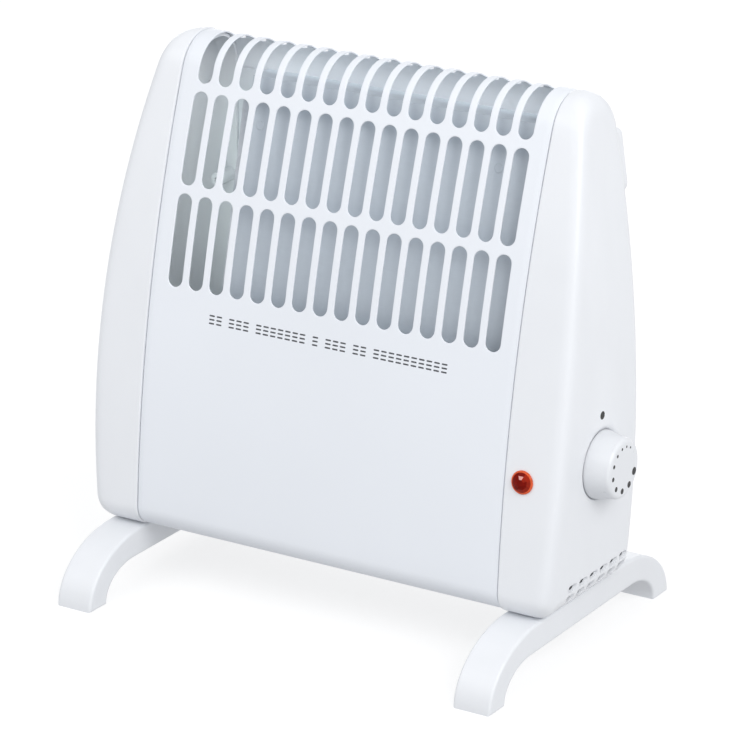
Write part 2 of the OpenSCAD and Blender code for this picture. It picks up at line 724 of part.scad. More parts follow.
module lamp_resistor() {
    color("tan") lens_place() {
        translate([1.1, 0, -23]) cylinder(h = 7, r = 1.3);
        translate([1.1, 0, -25]) cylinder(h = 2, r = 0.4);
    }
}

// ---- heating element ----

element_y = -3;
plate_t = 1.2;
element_tube_r = 4;
fin_hole_r = element_tube_r + 0.02;

module element_tube() {
    color("darkgray") x_rod(end_plate_x[0] - 7, end_plate_x[1] + 7, element_y, element_z, element_tube_r);
}

module element_fins() {
    first = end_plate_x[0] + 11;
    pitch = (end_plate_x[1] - end_plate_x[0] - 22) / (fin_count - 1);
    color("silver") for (i = [0 : fin_count - 1]) translate([first + i * pitch, element_y, element_z])
        difference() {
            union() {
                translate([-0.25, -fin_size[0] / 2, -fin_size[1] / 2]) cube([0.5, fin_size[0], fin_size[1]]);
                rotate([0, 90, 0]) cylinder(h = 2.4, r = element_tube_r + 0.7);
            }
            translate([-2, 0, 0]) rotate([0, 90, 0]) cylinder(h = 6, r = fin_hole_r);
        }
}

// Ceramic bushes that carry the tube in the two end plates
module end_bush() {
    rotate([0, 90, 0]) difference() {
        union() {
            translate([0, 0, -3.6]) cylinder(h = 3, r = 9);
            translate([0, 0, -0.7]) cylinder(h = 4, r = 6.2);
        }
        translate([0, 0, -5]) cylinder(h = 12, r = element_tube_r + 0.05);
    }
}

module element_bushes() {
    color("linen") {
        translate([end_plate_x[1] - 0.05, element_y, element_z]) end_bush();
        translate([end_plate_x[0] + 0.05, element_y, element_z]) mirror([1, 0, 0]) end_bush();
    }
}

module element_terminals() {
    color("silver") for (s = [0, 1]) {
        x = s == 0 ? end_plate_x[0] - 7 : end_plate_x[1] + 7;
        d = s == 0 ? -1 : 1;
        x_rod(min(x, x + d * 6), max(x, x + d * 6), element_y, element_z, 1.5);
        box([min(x + d * 4, x + d * 9), element_y - 0.4, element_z - 3.1],
            [max(x + d * 4, x + d * 9), element_y + 0.4, element_z + 3.1]);
    }
}

// The heat shield leans back like the front panel and has a flange along its top
shield_low = [-24.5, 130];
shield_high = [4.6, 259];
shield_t = 0.6;
shield_x = [-66, 92];
shield_flange = 13.5;
rivet_z = [150, 236];

function shield_y(z) = shield_low[0] + (z - shield_low[1]) * (shield_high[0] - shield_low[0]) / (shield_high[1] - shield_low[1]);
shield_tilt = atan((shield_high[0] - shield_low[0]) / (shield_high[1] - shield_low[1]));

module heat_shield() {
    color("gainsboro") difference() {
        along_x(shield_x[0], shield_x[1]) {
            strip(shield_high, shield_low, shield_t);
            translate([shield_high[0], shield_high[1] - shield_t]) square([shield_flange, shield_t]);
            translate([shield_high[0] + shield_flange - shield_t, shield_high[1] - 6]) square([shield_t, 6]);
        }
        for (z = rivet_z, x = rivet_x) translate([x, shield_y(z), z]) rotate([90 - shield_tilt, 0, 0])
            translate([0, 0, -3]) cylinder(h = 6, r = 1.6);
    }
}

rivet_x = [end_plate_x[0] + 11, end_plate_x[1] - 9];

module shield_rivets() {
    color("silver") for (z = rivet_z, x = rivet_x)
        translate([x, shield_y(z), z]) rotate([90 - shield_tilt, 0, 0]) {
            cylinder(h = 0.35, r1 = 2.4, r2 = 1.9);
            translate([0, 0, -2.3]) cylinder(h = 2.35, r = 1.55);
        }
}

// Height of the wires' way through the right end plate
wire_hole_z = 45.5;

// End plates: a foot flange on the grille, a plate that carries the element, and an arm up to the shield
module end_plate(x, side) {
    arm = [cos(shield_tilt), -sin(shield_tilt)];
    low = [shield_y(140), 140] + arm * (shield_t + 0.02);
    high = [shield_y(248), 248] + arm * (shield_t + 0.02);
    difference() {
        union() {
            along_x(x, x + plate_t) {
                translate([-26, grille_z + sheet_t + 0.02]) square([48, 88]);
                polygon([[-26, 110], [22, 110], [low[0] + 22, 128], high + [9, 0], high, low]);
            }
            along_x(side > 0 ? x : x - 13, side > 0 ? x + 14.2 : x + plate_t) strip(high, low, plate_t);
            box([side > 0 ? x - 9 : x, -26, grille_z + sheet_t + 0.02],
                [side > 0 ? x + plate_t : x + 12, 22, grille_z + sheet_t + 0.02 + plate_t]);
        }
        x_rod(x - cut, x + 4, element_y, element_z, 6.25);
        if (side < 0) along_x(x - cut, x + 4) translate([-4, wire_hole_z]) rotate(-90) slot_shape(10, 20);
        for (z = rivet_z) translate([side > 0 ? rivet_x[0] : rivet_x[1], shield_y(z), z])
            rotate([90 - shield_tilt, 0, 0]) translate([0, 0, -4]) cylinder(h = 8, r = 1.57);
    }
}

module left_element_bracket() {
    color("lightsteelblue") end_plate(end_plate_x[0] - plate_t / 2, 1);
}

module right_element_bracket() {
    color("lightsteelblue") end_plate(end_plate_x[1] - plate_t / 2, -1);
}

cutout_z = 112;
cutout_x = end_plate_x[1] + plate_t / 2 + 0.05;

module thermal_cutout() {
    color("dimgray") translate([cutout_x, 6, cutout_z]) rotate([0, 90, 0]) {
        cylinder(h = 5.6, r = 8.2);
        translate([0, 0, 5.6]) cylinder(h = 1, r = 7);
        for (s = [-1, 1]) translate([s * 5 - 0.4, -2, 6.5]) cube([0.8, 4, 6.5]);
    }
}

module cutout_clip() {
    color("silver") translate([cutout_x, 6, cutout_z]) rotate([0, 90, 0]) difference() {
        cylinder(h = 2.4, r = 9.2);
        translate([0, 0, -cut]) cylinder(h = 6, r = 8.25);
        translate([-12, -3, -cut]) cube([12, 6, 6]);
    }
}

// ---- terminal block, cable inlet and earth ----

block_low = [87, -14, grille_z + sheet_t + plate_t + 0.1];
block_size = [15, 30, 15];
poles = [5, 15, 25];

module terminal_block() {
    color("ivory") translate(block_low) difference() {
        union() {
            cube([block_size[0], block_size[1], 5]);
            for (p = poles) translate([1.5, p - 4, 4.9]) cube([12, 8, block_size[2] - 5]);
        }
        for (p = poles) {
            translate([-cut, p, 8.6]) rotate([0, 90, 0]) cylinder(h = 20, r = 1.9);
            translate([4.6, p, 9]) cylinder(h = 8, r = 1.8);
            translate([10.4, p, 9]) cylinder(h = 8, r = 1.8);
        }
    }
}

module terminal_screws() {
    color("silver") translate(block_low) for (p = poles, x = [4.6, 10.4]) translate([x, p, 10.6]) difference() {
        cylinder(h = 3.2, r = 1.75);
        translate([-2, -0.3, 2.4]) cube([4, 0.6, 2]);
    }
}

module cable_inlet_bush() {
    color("white") translate([bush_x, rear_y - lip, inlet_z]) rotate([-90, 0, 0]) difference() {
        union() {
            cylinder(h = 3, r = 9);
            translate([0, 0, 2.9]) cylinder(h = 4, r1 = 8, r2 = 6.2);
            translate([0, 0, -6]) cylinder(h = 6.1, r = 6.45);
            translate([0, 0, -3.4]) cylinder(h = 1.8, r1 = 6.5, r2 = 7.4);
        }
        translate([0, 0, -7]) cylinder(h = 16, r = inlet_r);
    }
}

earth_at = [bush_x - 18, rear_y - lip, inlet_z - 12];

module earth_screw() {
    color("goldenrod") translate(earth_at) rotate([-90, 0, 0]) {
        screw(3.4, 2.2, 1.8, 7);
        translate([0, 0, -2]) difference() {
            cylinder(h = 1, r = 4);
            translate([0, 0, -cut]) cylinder(h = 4, r = 1.85);
        }
    }
}

// ---- internal wiring, each wire along its own route ----

block_top = block_low[2] + 8.6;
right_pole_x = block_low[0] + block_size[0] + 0.5;
left_pole_x = block_low[0] - 0.5;

live_route = [[right_pole_x, -9, block_top], [109, -9, 50], [112, -11, 62], [108, -13, 76], [99, -14, 90],
              [94, -12, 104], [93.5, -7, 114], [96.5, -4.3, 118.5], [98.5, -4.3, 118.5]];
switched_route = [[107, 2.1, 119.5], [107, 5, 120.5], [109, 11, 127], [106, 13, 130], [102, 9, 123], [100.5, 6, 117.5], [98.2, 6, 117]];
element_route = [[98, -3, 78.7], [98.5, -2, 73], [101, 3, 70], [103, 8, 76], [103, 11, 88], [102, 11, 98],
                 [100.7, 7, 106.5], [98.2, 6, 107]];
neutral_route = [[left_pole_x, 11, block_top], [81, 12, 44.5], [72, 18, 45], [50, 24, 44.5], [20, 26, 44],
                 [-40, 26, 45], [-72, 26, 47], [-81, 21, 52], [-87, 9, 61], [-88.5, -1, 71], [-88, -3, 78.7]];
earth_route = [[left_pole_x, 1, block_top], [81, 2, 45], [76, 9, 47.5], [76, 22, 48], [75, 31, 48],
               [bush_x - 13.9, 34.8, inlet_z - 12]];
lamp_route = [[lens_x + 1.1, -17, 96], [116, -14, 88], [112, -15, 74], [109, -16, 62], [107, -15, 52],
              [right_pole_x, -6, block_top + 3]];

module wire_live() {
    color("saddlebrown") wire(live_route, 1.2);
}

module wire_switched() {
    color("saddlebrown") wire(switched_route, 1.2);
}

module wire_element() {
    color("saddlebrown") wire(element_route, 1.2);
}

module wire_neutral() {
    color("royalblue") wire(neutral_route, 1.2);
}

module wire_earth() {
    color("yellowgreen") wire(earth_route, 1.2);
}

module wires_lamp() {
    color("darkslategray") wire(lamp_route, 0.8);
}

// ---- assembly ----

module place() {
    translate([shift_x, 0, 0]) children();
}

place() front_panel();
place() back_panel();
place() base_grille();
place() left_end_cap();
place() right_end_cap();
place() left_foot();
place() right_foot();
place() left_wall_spacer();
place() right_wall_spacer();
place() foot_screws();
place() panel_screws();
place() cap_screws();
place() base_screws();
place() spacer_screws();
place() thermostat_knob();
place() thermostat_spindle();
place() thermostat_bushing();
place() thermostat_nut();
place() thermostat_bracket();
place() thermostat_screws();
place() thermostat_stack();
place() bimetal_strip();
place() contact_blade();
place() indicator_lens();
place() lens_clip();
place() neon_lamp();
place() lamp_resistor();
place() element_tube();
place() element_fins();
place() element_bushes();
place() element_terminals();
place() left_element_bracket();
place() right_element_bracket();
place() heat_shield();
place() shield_rivets();
place() thermal_cutout();
place() cutout_clip();
place() terminal_block();
place() terminal_screws();
place() cable_inlet_bush();
place() earth_screw();
place() wire_live();
place() wire_switched();
place() wire_element();
place() wire_neutral();
place() wire_earth();
place() wires_lamp();
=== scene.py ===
"""Looks of the convector heater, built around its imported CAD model.

Lengths in the shape code are in millimetres, measured from the casing's own middle plane in X, from the
feet's middle in Y and from the floor in Z. place() turns them into the row frame's metres.
"""

import json
from math import asin, atan2, ceil, cos, degrees, dist, sin, sqrt
from math import radians as rad

import bmesh
import bpy
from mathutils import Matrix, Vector


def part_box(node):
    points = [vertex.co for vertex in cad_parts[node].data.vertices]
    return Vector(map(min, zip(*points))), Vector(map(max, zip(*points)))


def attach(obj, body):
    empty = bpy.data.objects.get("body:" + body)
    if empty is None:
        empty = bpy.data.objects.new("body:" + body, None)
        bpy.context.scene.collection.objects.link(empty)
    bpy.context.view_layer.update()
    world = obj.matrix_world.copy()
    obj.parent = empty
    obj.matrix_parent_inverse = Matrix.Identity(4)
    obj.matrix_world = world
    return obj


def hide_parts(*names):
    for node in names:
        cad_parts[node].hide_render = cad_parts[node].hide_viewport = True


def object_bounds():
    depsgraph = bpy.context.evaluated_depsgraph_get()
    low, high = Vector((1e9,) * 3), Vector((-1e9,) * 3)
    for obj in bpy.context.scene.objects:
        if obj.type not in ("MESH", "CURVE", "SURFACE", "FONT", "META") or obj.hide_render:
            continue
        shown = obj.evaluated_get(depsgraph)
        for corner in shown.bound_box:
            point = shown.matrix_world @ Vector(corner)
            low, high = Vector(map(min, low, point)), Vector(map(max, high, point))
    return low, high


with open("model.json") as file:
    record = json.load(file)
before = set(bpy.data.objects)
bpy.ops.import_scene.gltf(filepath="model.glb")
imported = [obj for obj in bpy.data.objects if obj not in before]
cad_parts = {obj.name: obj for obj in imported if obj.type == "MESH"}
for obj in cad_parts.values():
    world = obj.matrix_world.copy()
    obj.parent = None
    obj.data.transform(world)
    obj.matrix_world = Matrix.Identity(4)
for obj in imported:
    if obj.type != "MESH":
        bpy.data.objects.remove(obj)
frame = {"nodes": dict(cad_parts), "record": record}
cad_low, cad_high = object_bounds()

MM = 0.001
panel_low, panel_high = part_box("front_panel")
SHIFT = (panel_low.x + panel_high.x) / 2 / MM

# Casing: front and sides bulge with one radius, and the front's arc has its centre at FRONT_C in Y and Z.
# From the side, the outline turns at two lower corners, at the crest (front top) and the shoulder (rear top).
TOTAL_H = cad_high.z / MM
BASE_Z = 31.0
SEAM_X = 104.0
BODY_W = 270.1
REAR_Y = 37.5
BULGE_R = 750.0
WIDEST_Z = 110.0
WIDEST_Y = 7.3
CORNER_R = 12.0
CREST_R = 21.0
SHOULDER_R = 18.0
EDGE_R = 10.0
FRONT_C = (701.0, -2.5)

# The sheet metal lies LIP below the caps' skin, and stops SEAM_GAP short of the seam
LIP = 0.6
SHEET_T = 0.8
SEAM_GAP = 0.6

# Slots of the front panel, in rows that start at SLOT_Z, and its two edges: under the base and down the rear
SLOT_COUNT = 16
SLOT_ROWS = 3
SLOT_PITCH = 12.0
SLOT_W = 8.3
SLOT_LEN = 46.2
SLOT_GAP = 4.1
SLOT_Z = 156.7
FRONT_RETURN = 14.0
FRONT_SKIRT_Z = 238.0

# Slots of the back panel, whose lowest row stops short of the cable's inlet, and its joggled upper edge
REAR_COUNT = 15
REAR_ROWS = 3
REAR_CLOSED = 3
REAR_SLOT_W = 6.0
REAR_SLOT_LEN = 38.0
REAR_SLOT_GAP = 4.0
REAR_SLOT_Z = 70.0
REAR_RETURN_Y = 10.0
JOGGLE = 0.3
JOGGLE_Z = (234.0, 237.0)
REAR_TOP_Z = 252.0

# Print stands this far proud, and reaches this far into what it is on
INK_PROUD = 0.02
INK_DEEP = 0.08

# Thermostat knob and indicator
KNOB_Y = -4.3
KNOB_Z = 100.7
KNOB_R = 16.8
KNOB_FACE_R = 14.9
knob_low, knob_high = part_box("thermostat_knob")
KNOB_X0 = knob_low.x / MM - SHIFT
KNOB_X1 = knob_high.x / MM - SHIFT - INK_PROUD
LENS_X = SEAM_X + 9.6
LENS_Z = 99.7
LENS_R = 5.75

# Largest turn between faces, in degrees, that is still shaded smooth
SHARP_WIDE = 40
SHARP_CUT = 32
SHARP_PLAIN = 35
SHARP_LENS = 8


def place(x, y, z):
    """A point in millimetres from the casing's middle plane, as metres in the row frame."""
    return ((x + SHIFT) * MM, y * MM, z * MM)


# ---- mesh helpers


class Shape:
    """Faces that share welded vertices, in millimetres, turned into one mesh at the end."""

    def __init__(self):
        self.points = []
        self.index = {}
        self.faces = []
        self.slots = []

    def point(self, p):
        key = (round(p[0], 3), round(p[1], 3), round(p[2], 3))
        if key not in self.index:
            self.index[key] = len(self.points)
            self.points.append(p)
        return self.index[key]

    def face(self, corners, slot=0):
        ids = []
        for p in corners:
            i = self.point(p)
            if i not in ids:
                ids.append(i)
        if len(ids) > 2:
            self.faces.append(ids)
            self.slots.append(slot)

    def grid(self, rows, closed=False, flip=False):
        """Quads between successive rows of points."""
        for a, b in zip(rows, rows[1:]):
            n = len(a)
            for i in range(n if closed else n - 1):
                j = (i + 1) % n
                quad = [a[i], a[j], b[j], b[i]]
                self.face(quad[::-1] if flip else quad)

    def fan(self, ring, centre, flip=False):
        for i, p in enumerate(ring):
            tri = [p, ring[(i + 1) % len(ring)], centre]
            self.face(tri[::-1] if flip else tri)

    def lid(self, ring, flip=False):
        """Closes a ring with triangles round its middle."""
        self.fan(ring, tuple(sum(p[i] for p in ring) / len(ring) for i in range(3)), flip)

    def mirrored(self):
        other = Shape()
        for ids, slot in zip(self.faces, self.slots):
            other.face([(-self.points[i][0], *self.points[i][1:]) for i in reversed(ids)], slot)
        return other

    def sided(self, side):
        """The shape itself for the right side, its mirror image for the left one."""
        return self if side == "right" else self.mirrored()

    def mesh(self):
        mesh = bpy.data.meshes.new("shape")
        mesh.from_pydata([place(*p) for p in self.points], [], self.faces)
        mesh.polygons.foreach_set("material_index", self.slots)
        mesh.update()
        return mesh


def tidy_mesh(mesh, sharp=SHARP_PLAIN):
    """Consistent outward faces, smooth shading, and sharp edges where the faces turn by more than sharp."""
    bm = bmesh.new()
    bm.from_mesh(mesh)
    bmesh.ops.remove_doubles(bm, verts=bm.verts, dist=1e-6)
    bmesh.ops.recalc_face_normals(bm, faces=bm.faces)
    bm.to_mesh(mesh)
    bm.free()
    mesh.shade_smooth()
    mesh.set_sharp_from_angle(angle=rad(sharp))


def add_object(name, data):
    obj = bpy.data.objects.new(name, data)
    bpy.context.scene.collection.objects.link(obj)
    return obj


def add_piece(name, mesh, body, slot, replaces=(), sharp=SHARP_PLAIN, looks=()):
    """Tidies a mesh and puts it in the scene as a piece that rides on a CAD body, with its slot's own look
    unless others are given."""
    mesh.name = name
    tidy_mesh(mesh, sharp)
    obj = add_object(name, mesh)
    for look in looks or [LOOKS[slot]]:
        mesh.materials.append(look)
    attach(obj, body)
    if replaces:
        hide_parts(*replaces)


def cut_mesh(mesh, cutters):
    """The mesh with the cutters' volumes taken away."""
    tidy_mesh(mesh)
    obj = add_object("cut_target", mesh)
    tools = bpy.data.collections.new("cutters")
    made = []
    for shape in cutters:
        cutter = shape.mesh()
        tidy_mesh(cutter)
        tool = bpy.data.objects.new("cutter", cutter)
        tools.objects.link(tool)
        made.append(tool)
    mod = obj.modifiers.new("cut", "BOOLEAN")
    mod.operation = "DIFFERENCE"
    mod.solver = "EXACT"
    mod.operand_type = "COLLECTION"
    mod.collection = tools
    bpy.context.view_layer.update()
    done = bpy.data.meshes.new_from_object(obj.evaluated_get(bpy.context.evaluated_depsgraph_get()))
    bpy.data.objects.remove(obj)
    for tool in made:
        bpy.data.objects.remove(tool)
    bpy.data.collections.remove(tools)
    return done


def add_sides(name, shape, cutters, slot, replaced, right_cutters=()):
    """A cut moulding at the right and its mirror image at the left; right_cutters cut the right one only."""
    for side, extra in (("right", [*right_cutters]), ("left", [])):
        mesh = cut_mesh(shape.sided(side).mesh(), [c.sided(side) for c in cutters] + extra)
        add_piece(side + name, mesh, "heater", slot, [side + replaced], SHARP_CUT)


def arc(c, r, a0, a1, n, first=0, last=0):
    """Points of an arc in a plane, from angle a0 to a1 in degrees, without the first and last few."""
    out = []
    for i in range(first, n + 1 - last):
        a = rad(a0 + (a1 - a0) * i / n)
        out.append((c[0] + r * cos(a), c[1] + r * sin(a)))
    return out


def quarter(r, steps):
    """A rounded edge of radius r as (drop, inset), from its inset end to its full one."""
    angles = [rad(90 - 90 * i / steps) for i in range(steps + 1)]
    return [(r * (1 - sin(a)), r * (1 - cos(a))) for a in angles]


def spun(shape, at, axes, profile, n):
    """A turned shape in n steps: profile is [(radius, height)], axes are its side, other side and axis."""
    side, other, axis = axes
    rows = []
    for k in range(n):
        a = rad(360 * k / n)
        radial = side * cos(a) + other * sin(a)
        rows.append([tuple(at + radial * r + axis * h) for r, h in profile])
    rows.append(rows[0])
    shape.grid(rows)


X_AXES = (Vector((0, 1, 0)), Vector((0, 0, 1)), Vector((1, 0, 0)))
Y_AXES = (Vector((0, 0, 1)), Vector((1, 0, 0)), Vector((0, 1, 0)))

# ---- outline of the casing

LOW_FRONT_C = (
    FRONT_C[0] - sqrt((BULGE_R - CORNER_R) ** 2 - (BASE_Z + CORNER_R - FRONT_C[1]) ** 2),
    BASE_Z + CORNER_R,
)
CREST_C = (
    FRONT_C[0] - sqrt((BULGE_R - CREST_R) ** 2 - (TOTAL_H - CREST_R - FRONT_C[1]) ** 2),
    TOTAL_H - CREST_R,
)
SHOULDER_C = (REAR_Y - SHOULDER_R, TOTAL_H - SHOULDER_R)
LOW_REAR_C = (REAR_Y - CORNER_R, BASE_Z + CORNER_R)
FRONT_A0 = degrees(asin((LOW_FRONT_C[1] - FRONT_C[1]) / (BULGE_R - CORNER_R)))
FRONT_A1 = degrees(asin((CREST_C[1] - FRONT_C[1]) / (BULGE_R - CREST_R)))
# Steps of the outline: round a lower corner, up the front or the rear, and round the crest or the shoulder
CORNER_N = 12
SIDE_N = 36
CREST_N = 16


def outline_stations():
    """The casing's outline as (centre, radius, direction), first the front half upwards, then the rear half
    downwards: a point lies on its direction from its centre, so an inset shortens the radius."""

    def turn(c, r, a0, a1, n, first=0, last=0):
        return [(c, r, d) for d in arc((0, 0), 1, a0, a1, n, first, last)]

    front = turn(LOW_FRONT_C, CORNER_R, 270, 180 - FRONT_A0, CORNER_N)
    front += turn(FRONT_C, BULGE_R, 180 - FRONT_A0, 180 - FRONT_A1, SIDE_N, 1, 1)
    front += turn(CREST_C, CREST_R, 180 - FRONT_A1, 90, CREST_N)
    rear = turn(LOW_REAR_C, CORNER_R, 270, 360, CORNER_N)
    step = (SHOULDER_C[1] - LOW_REAR_C[1]) / SIDE_N
    rear += [((0, LOW_REAR_C[1] + step * i), REAR_Y, (1, 0)) for i in range(1, SIDE_N)]
    rear += turn(SHOULDER_C, SHOULDER_R, 0, 90, CREST_N)
    return front + rear[::-1]


STATIONS = outline_stations()


def outline(d):
    """The outline's points in Y and Z, inset by d, which is one number or one for each point."""
    insets = d if isinstance(d, list) else [d] * len(STATIONS)
    return [(c[0] + (r - i) * n[0], c[1] + (r - i) * n[1]) for (c, r, n), i in zip(STATIONS, insets)]


def half_w(y, z):
    """Half width of the casing at a point of its side face, which is part of a large sphere."""
    return BODY_W / 2 - BULGE_R + sqrt(BULGE_R ** 2 - (y - WIDEST_Y) ** 2 - (z - WIDEST_Z) ** 2)


def front_y(z):
    """Y of the caps' front skin at height z."""
    return FRONT_C[0] - sqrt(BULGE_R ** 2 - (z - FRONT_C[1]) ** 2)


def front_tilt(z):
    """How far the front's outward normal leans upwards at height z, in radians."""
    return asin((z - FRONT_C[1]) / BULGE_R)


class Path:
    """A line in Y and Z made of straight and round stretches, read by the distance along it."""

    # Steps along straight stretches, which arcs wider than WIDE_R count as, and along bends
    LINE_STEP = 12.0
    BEND_STEP = 1.6
    WIDE_R = 100.0

    def __init__(self):
        self.parts = []
        self.length = 0.0

    def line(self, p, q, normal):
        size = dist(p, q)
        self.parts.append((self.length, size, "line", p, q, normal))
        self.length += size

    def arc(self, c, r, a0, a1):
        size = abs(rad(a1 - a0)) * r
        self.parts.append((self.length, size, "arc", c, r, (a0, a1)))
        self.length += size

    def at(self, v):
        """Point and outward normal at distance v."""
        part = self.parts[0]
        for p in self.parts:
            if v >= p[0] - 1e-9:
                part = p
        start, size, kind, a, b, c = part
        t = (v - start) / size
        if kind == "line":
            return (a[0] + (b[0] - a[0]) * t, a[1] + (b[1] - a[1]) * t), c
        angle = rad(c[0] + (c[1] - c[0]) * t)
        n = (cos(angle), sin(angle))
        return (a[0] + b * n[0], a[1] + b * n[1]), n

    def stops(self, v0, v1):
        """Distances from v0 to v1, close together on the bends."""
        out = [v0]
        for start, size, kind, a, b, c in self.parts:
            lo, hi = max(start, v0), min(start + size, v1)
            if hi - lo < 1e-6:
                continue
            step = self.LINE_STEP if kind == "line" or b > self.WIDE_R else self.BEND_STEP
            n = max(1, ceil((hi - lo) / step))
            out += [lo + (hi - lo) * i / n for i in range(1, n + 1)]
        return out


# ---- slotted sheet


class Sheet:
    """Sheet metal that follows a path, with round-edged slots punched through it."""

    # Steps across a slot's cell, and beside each round end
    NU = 6
    NA = 3
    # Rounding of a slot's outer edge, bevel of its inner one, and the flat ring kept round it
    EDGE = 0.3
    BEVEL = 0.12
    RING = 0.95
    # Rounding of the sheet's two side edges: its size, and how far in its middle point is
    SIDE_ROUND = 0.22
    SIDE_MIDDLE = 0.06

    def __init__(self, path, half, thick):
        self.shape = Shape()
        self.path = path
        self.half = half
        self.thick = thick

    def at(self, u, v, w):
        (y, z), n = self.path.at(v)
        return (u, y - n[0] * w, z - n[1] * w)

    def stadium(self, cu, v_lo, length, w, grow, sides):
        """A round-ended slot's edge, grown by grow; sides are the distances of its straight stretch."""
        r = w / 2 + grow
        low, high = (cu, v_lo + w / 2), (cu, v_lo + length - w / 2)
        loop = arc(low, r, 225, 315, self.NU, 0, 1)
        loop += arc(low, r, 315, 360, self.NA, 0, 1)
        loop += [(cu + r, v) for v in sides[:-1]]
        loop += arc(high, r, 0, 45, self.NA, 0, 1)
        loop += arc(high, r, 45, 135, self.NU, 0, 1)
        loop += arc(high, r, 135, 180, self.NA, 0, 1)
        loop += [(cu - r, v) for v in sides[:0:-1]]
        loop += arc(low, r, 180, 225, self.NA, 0, 1)
        return loop

    def row_stops(self, v_lo, length, w, margin):
        """Distances of a row's side points: bar, round end, straight stretch, round end, bar."""
        low, high = v_lo + w / 2, v_lo + length - w / 2
        v0, v1 = v_lo - margin, v_lo + length + margin
        sides = self.path.stops(low, high)
        bottom = [v0 + (low - v0) * i / self.NA for i in range(self.NA)]
        top = [high + (v1 - high) * i / self.NA for i in range(1, self.NA + 1)]
        return sides, bottom + sides + top

    def slot(self, cu, v_lo, length, w, sides, stops):
        """One cell of the sheet with a slot in it."""
        u0, u1 = cu - SLOT_PITCH / 2, cu + SLOT_PITCH / 2
        nu = self.NU
        rect = [(u0 + (u1 - u0) * i / nu, stops[0]) for i in range(nu)]
        rect += [(u1, v) for v in stops[:-1]]
        rect += [(u1 - (u1 - u0) * i / nu, stops[-1]) for i in range(nu)]
        rect += [(u0, v) for v in stops[:0:-1]]
        e, t, bevel = self.EDGE, self.thick, self.BEVEL
        steps = [(self.RING, 0.0), (e, 0.0), (e * 0.5, e * 0.13), (e * 0.13, e * 0.5), (0.0, e),
                 (0.0, t - bevel), (bevel, t)]
        loops = [(rect, 0.0)]
        for grow, depth in steps:
            loops.append((self.stadium(cu, v_lo, length, w, grow, sides), depth))
        loops.append((rect, t))
        self.shape.grid([[self.at(u, v, d) for u, v in loop] for loop, d in loops], closed=True)

    def columns(self, us):
        """The outer skin's columns as (across, depth); both side edges turn round to the inner skin."""
        r, middle = self.SIDE_ROUND, self.SIDE_MIDDLE
        rim = [(0.0, self.thick), (0.0, r), (middle, middle), (r, 0.0)]
        columns = []
        for u in us:
            if abs(abs(u) - self.half) < 1e-6:
                sign = -1 if u < 0 else 1
                part = [(u - sign * inset, w) for inset, w in rim]
                columns += part if u < 0 else part[::-1]
            else:
                columns.append((u, 0.0))
        return columns

    def plain(self, us, stops):
        """A stretch of sheet without slots, both faces."""
        t = self.thick
        self.shape.grid([[self.at(u, v, w) for u, w in self.columns(us)] for v in stops])
        self.shape.grid([[self.at(u, v, t) for u in us] for v in stops], flip=True)

    def end(self, us, v, flip):
        """The sheet's cut end at distance v."""
        t = self.thick
        self.shape.grid([[self.at(u, v, w) for u in us[1:-1]] for w in (0.0, t)], flip=flip)
        columns = self.columns(us)
        for corner, inner in ((columns[:4], us[1]), (columns[:-5:-1], us[-2])):
            self.shape.face([self.at(u, v, w) for u, w in corner + [(inner, 0.0), (inner, t)]])


def slotted_sheet(path, v, rows, count, size, closed=0):
    """The sheet on a path, with rows of slots from distance v on; closed cells end its lowest row.

    size is the slots' length and width and the gap between rows.
    """
    length, w, gap = size
    sheet = Sheet(path, SEAM_X - SEAM_GAP, SHEET_T)
    nu = sheet.NU
    edge = count * SLOT_PITCH / 2
    margin = (sheet.half + edge) / 2
    inner = [-edge + SLOT_PITCH * i / nu for i in range(count * nu + 1)]
    us = [-sheet.half, -margin] + inner + [margin, sheet.half]
    sheet.plain(us, path.stops(0, v - gap / 2))
    for row in range(rows):
        sides, stops = sheet.row_stops(v, length, w, gap / 2)
        for i in range(count):
            cu = (i - (count - 1) / 2) * SLOT_PITCH
            if row > 0 or i < count - closed:
                sheet.slot(cu, v, length, w, sides, stops)
            else:
                left = cu - SLOT_PITCH / 2
                sheet.plain([left + SLOT_PITCH * k / nu for k in range(nu + 1)], stops)
        sheet.plain(us[:3], stops)
        sheet.plain(us[-3:], stops)
        v += length + gap
    sheet.plain(us, path.stops(v - gap / 2, path.length))
    sheet.end(us, 0, True)
    sheet.end(us, path.length, False)
    return sheet.shape


def front_panel_shape():
    """The slotted sheet over the front, the crest and the top, its path, and where the front starts on it."""
    path = Path()
    bottom = BASE_Z + LIP
    path.line((LOW_FRONT_C[0] + FRONT_RETURN, bottom), (LOW_FRONT_C[0], bottom), (0, -1))
    path.arc(LOW_FRONT_C, CORNER_R - LIP, 270, 180 - FRONT_A0)
    front_start = path.length
    path.arc(FRONT_C, BULGE_R - LIP, 180 - FRONT_A0, 180 - FRONT_A1)
    path.arc(CREST_C, CREST_R - LIP, 180 - FRONT_A1, 90)
    path.line((CREST_C[0], TOTAL_H - LIP), (SHOULDER_C[0], TOTAL_H - LIP), (0, 1))
    path.arc(SHOULDER_C, SHOULDER_R - LIP, 90, 0)
    path.line((REAR_Y - LIP, SHOULDER_C[1]), (REAR_Y - LIP, FRONT_SKIRT_Z), (1, 0))
    first = asin((SLOT_Z - FRONT_C[1]) / BULGE_R) - rad(FRONT_A0)
    v = front_start + first * (BULGE_R - LIP)
    shape = slotted_sheet(path, v, SLOT_ROWS, SLOT_COUNT, (SLOT_LEN, SLOT_W, SLOT_GAP))
    return shape, path, front_start


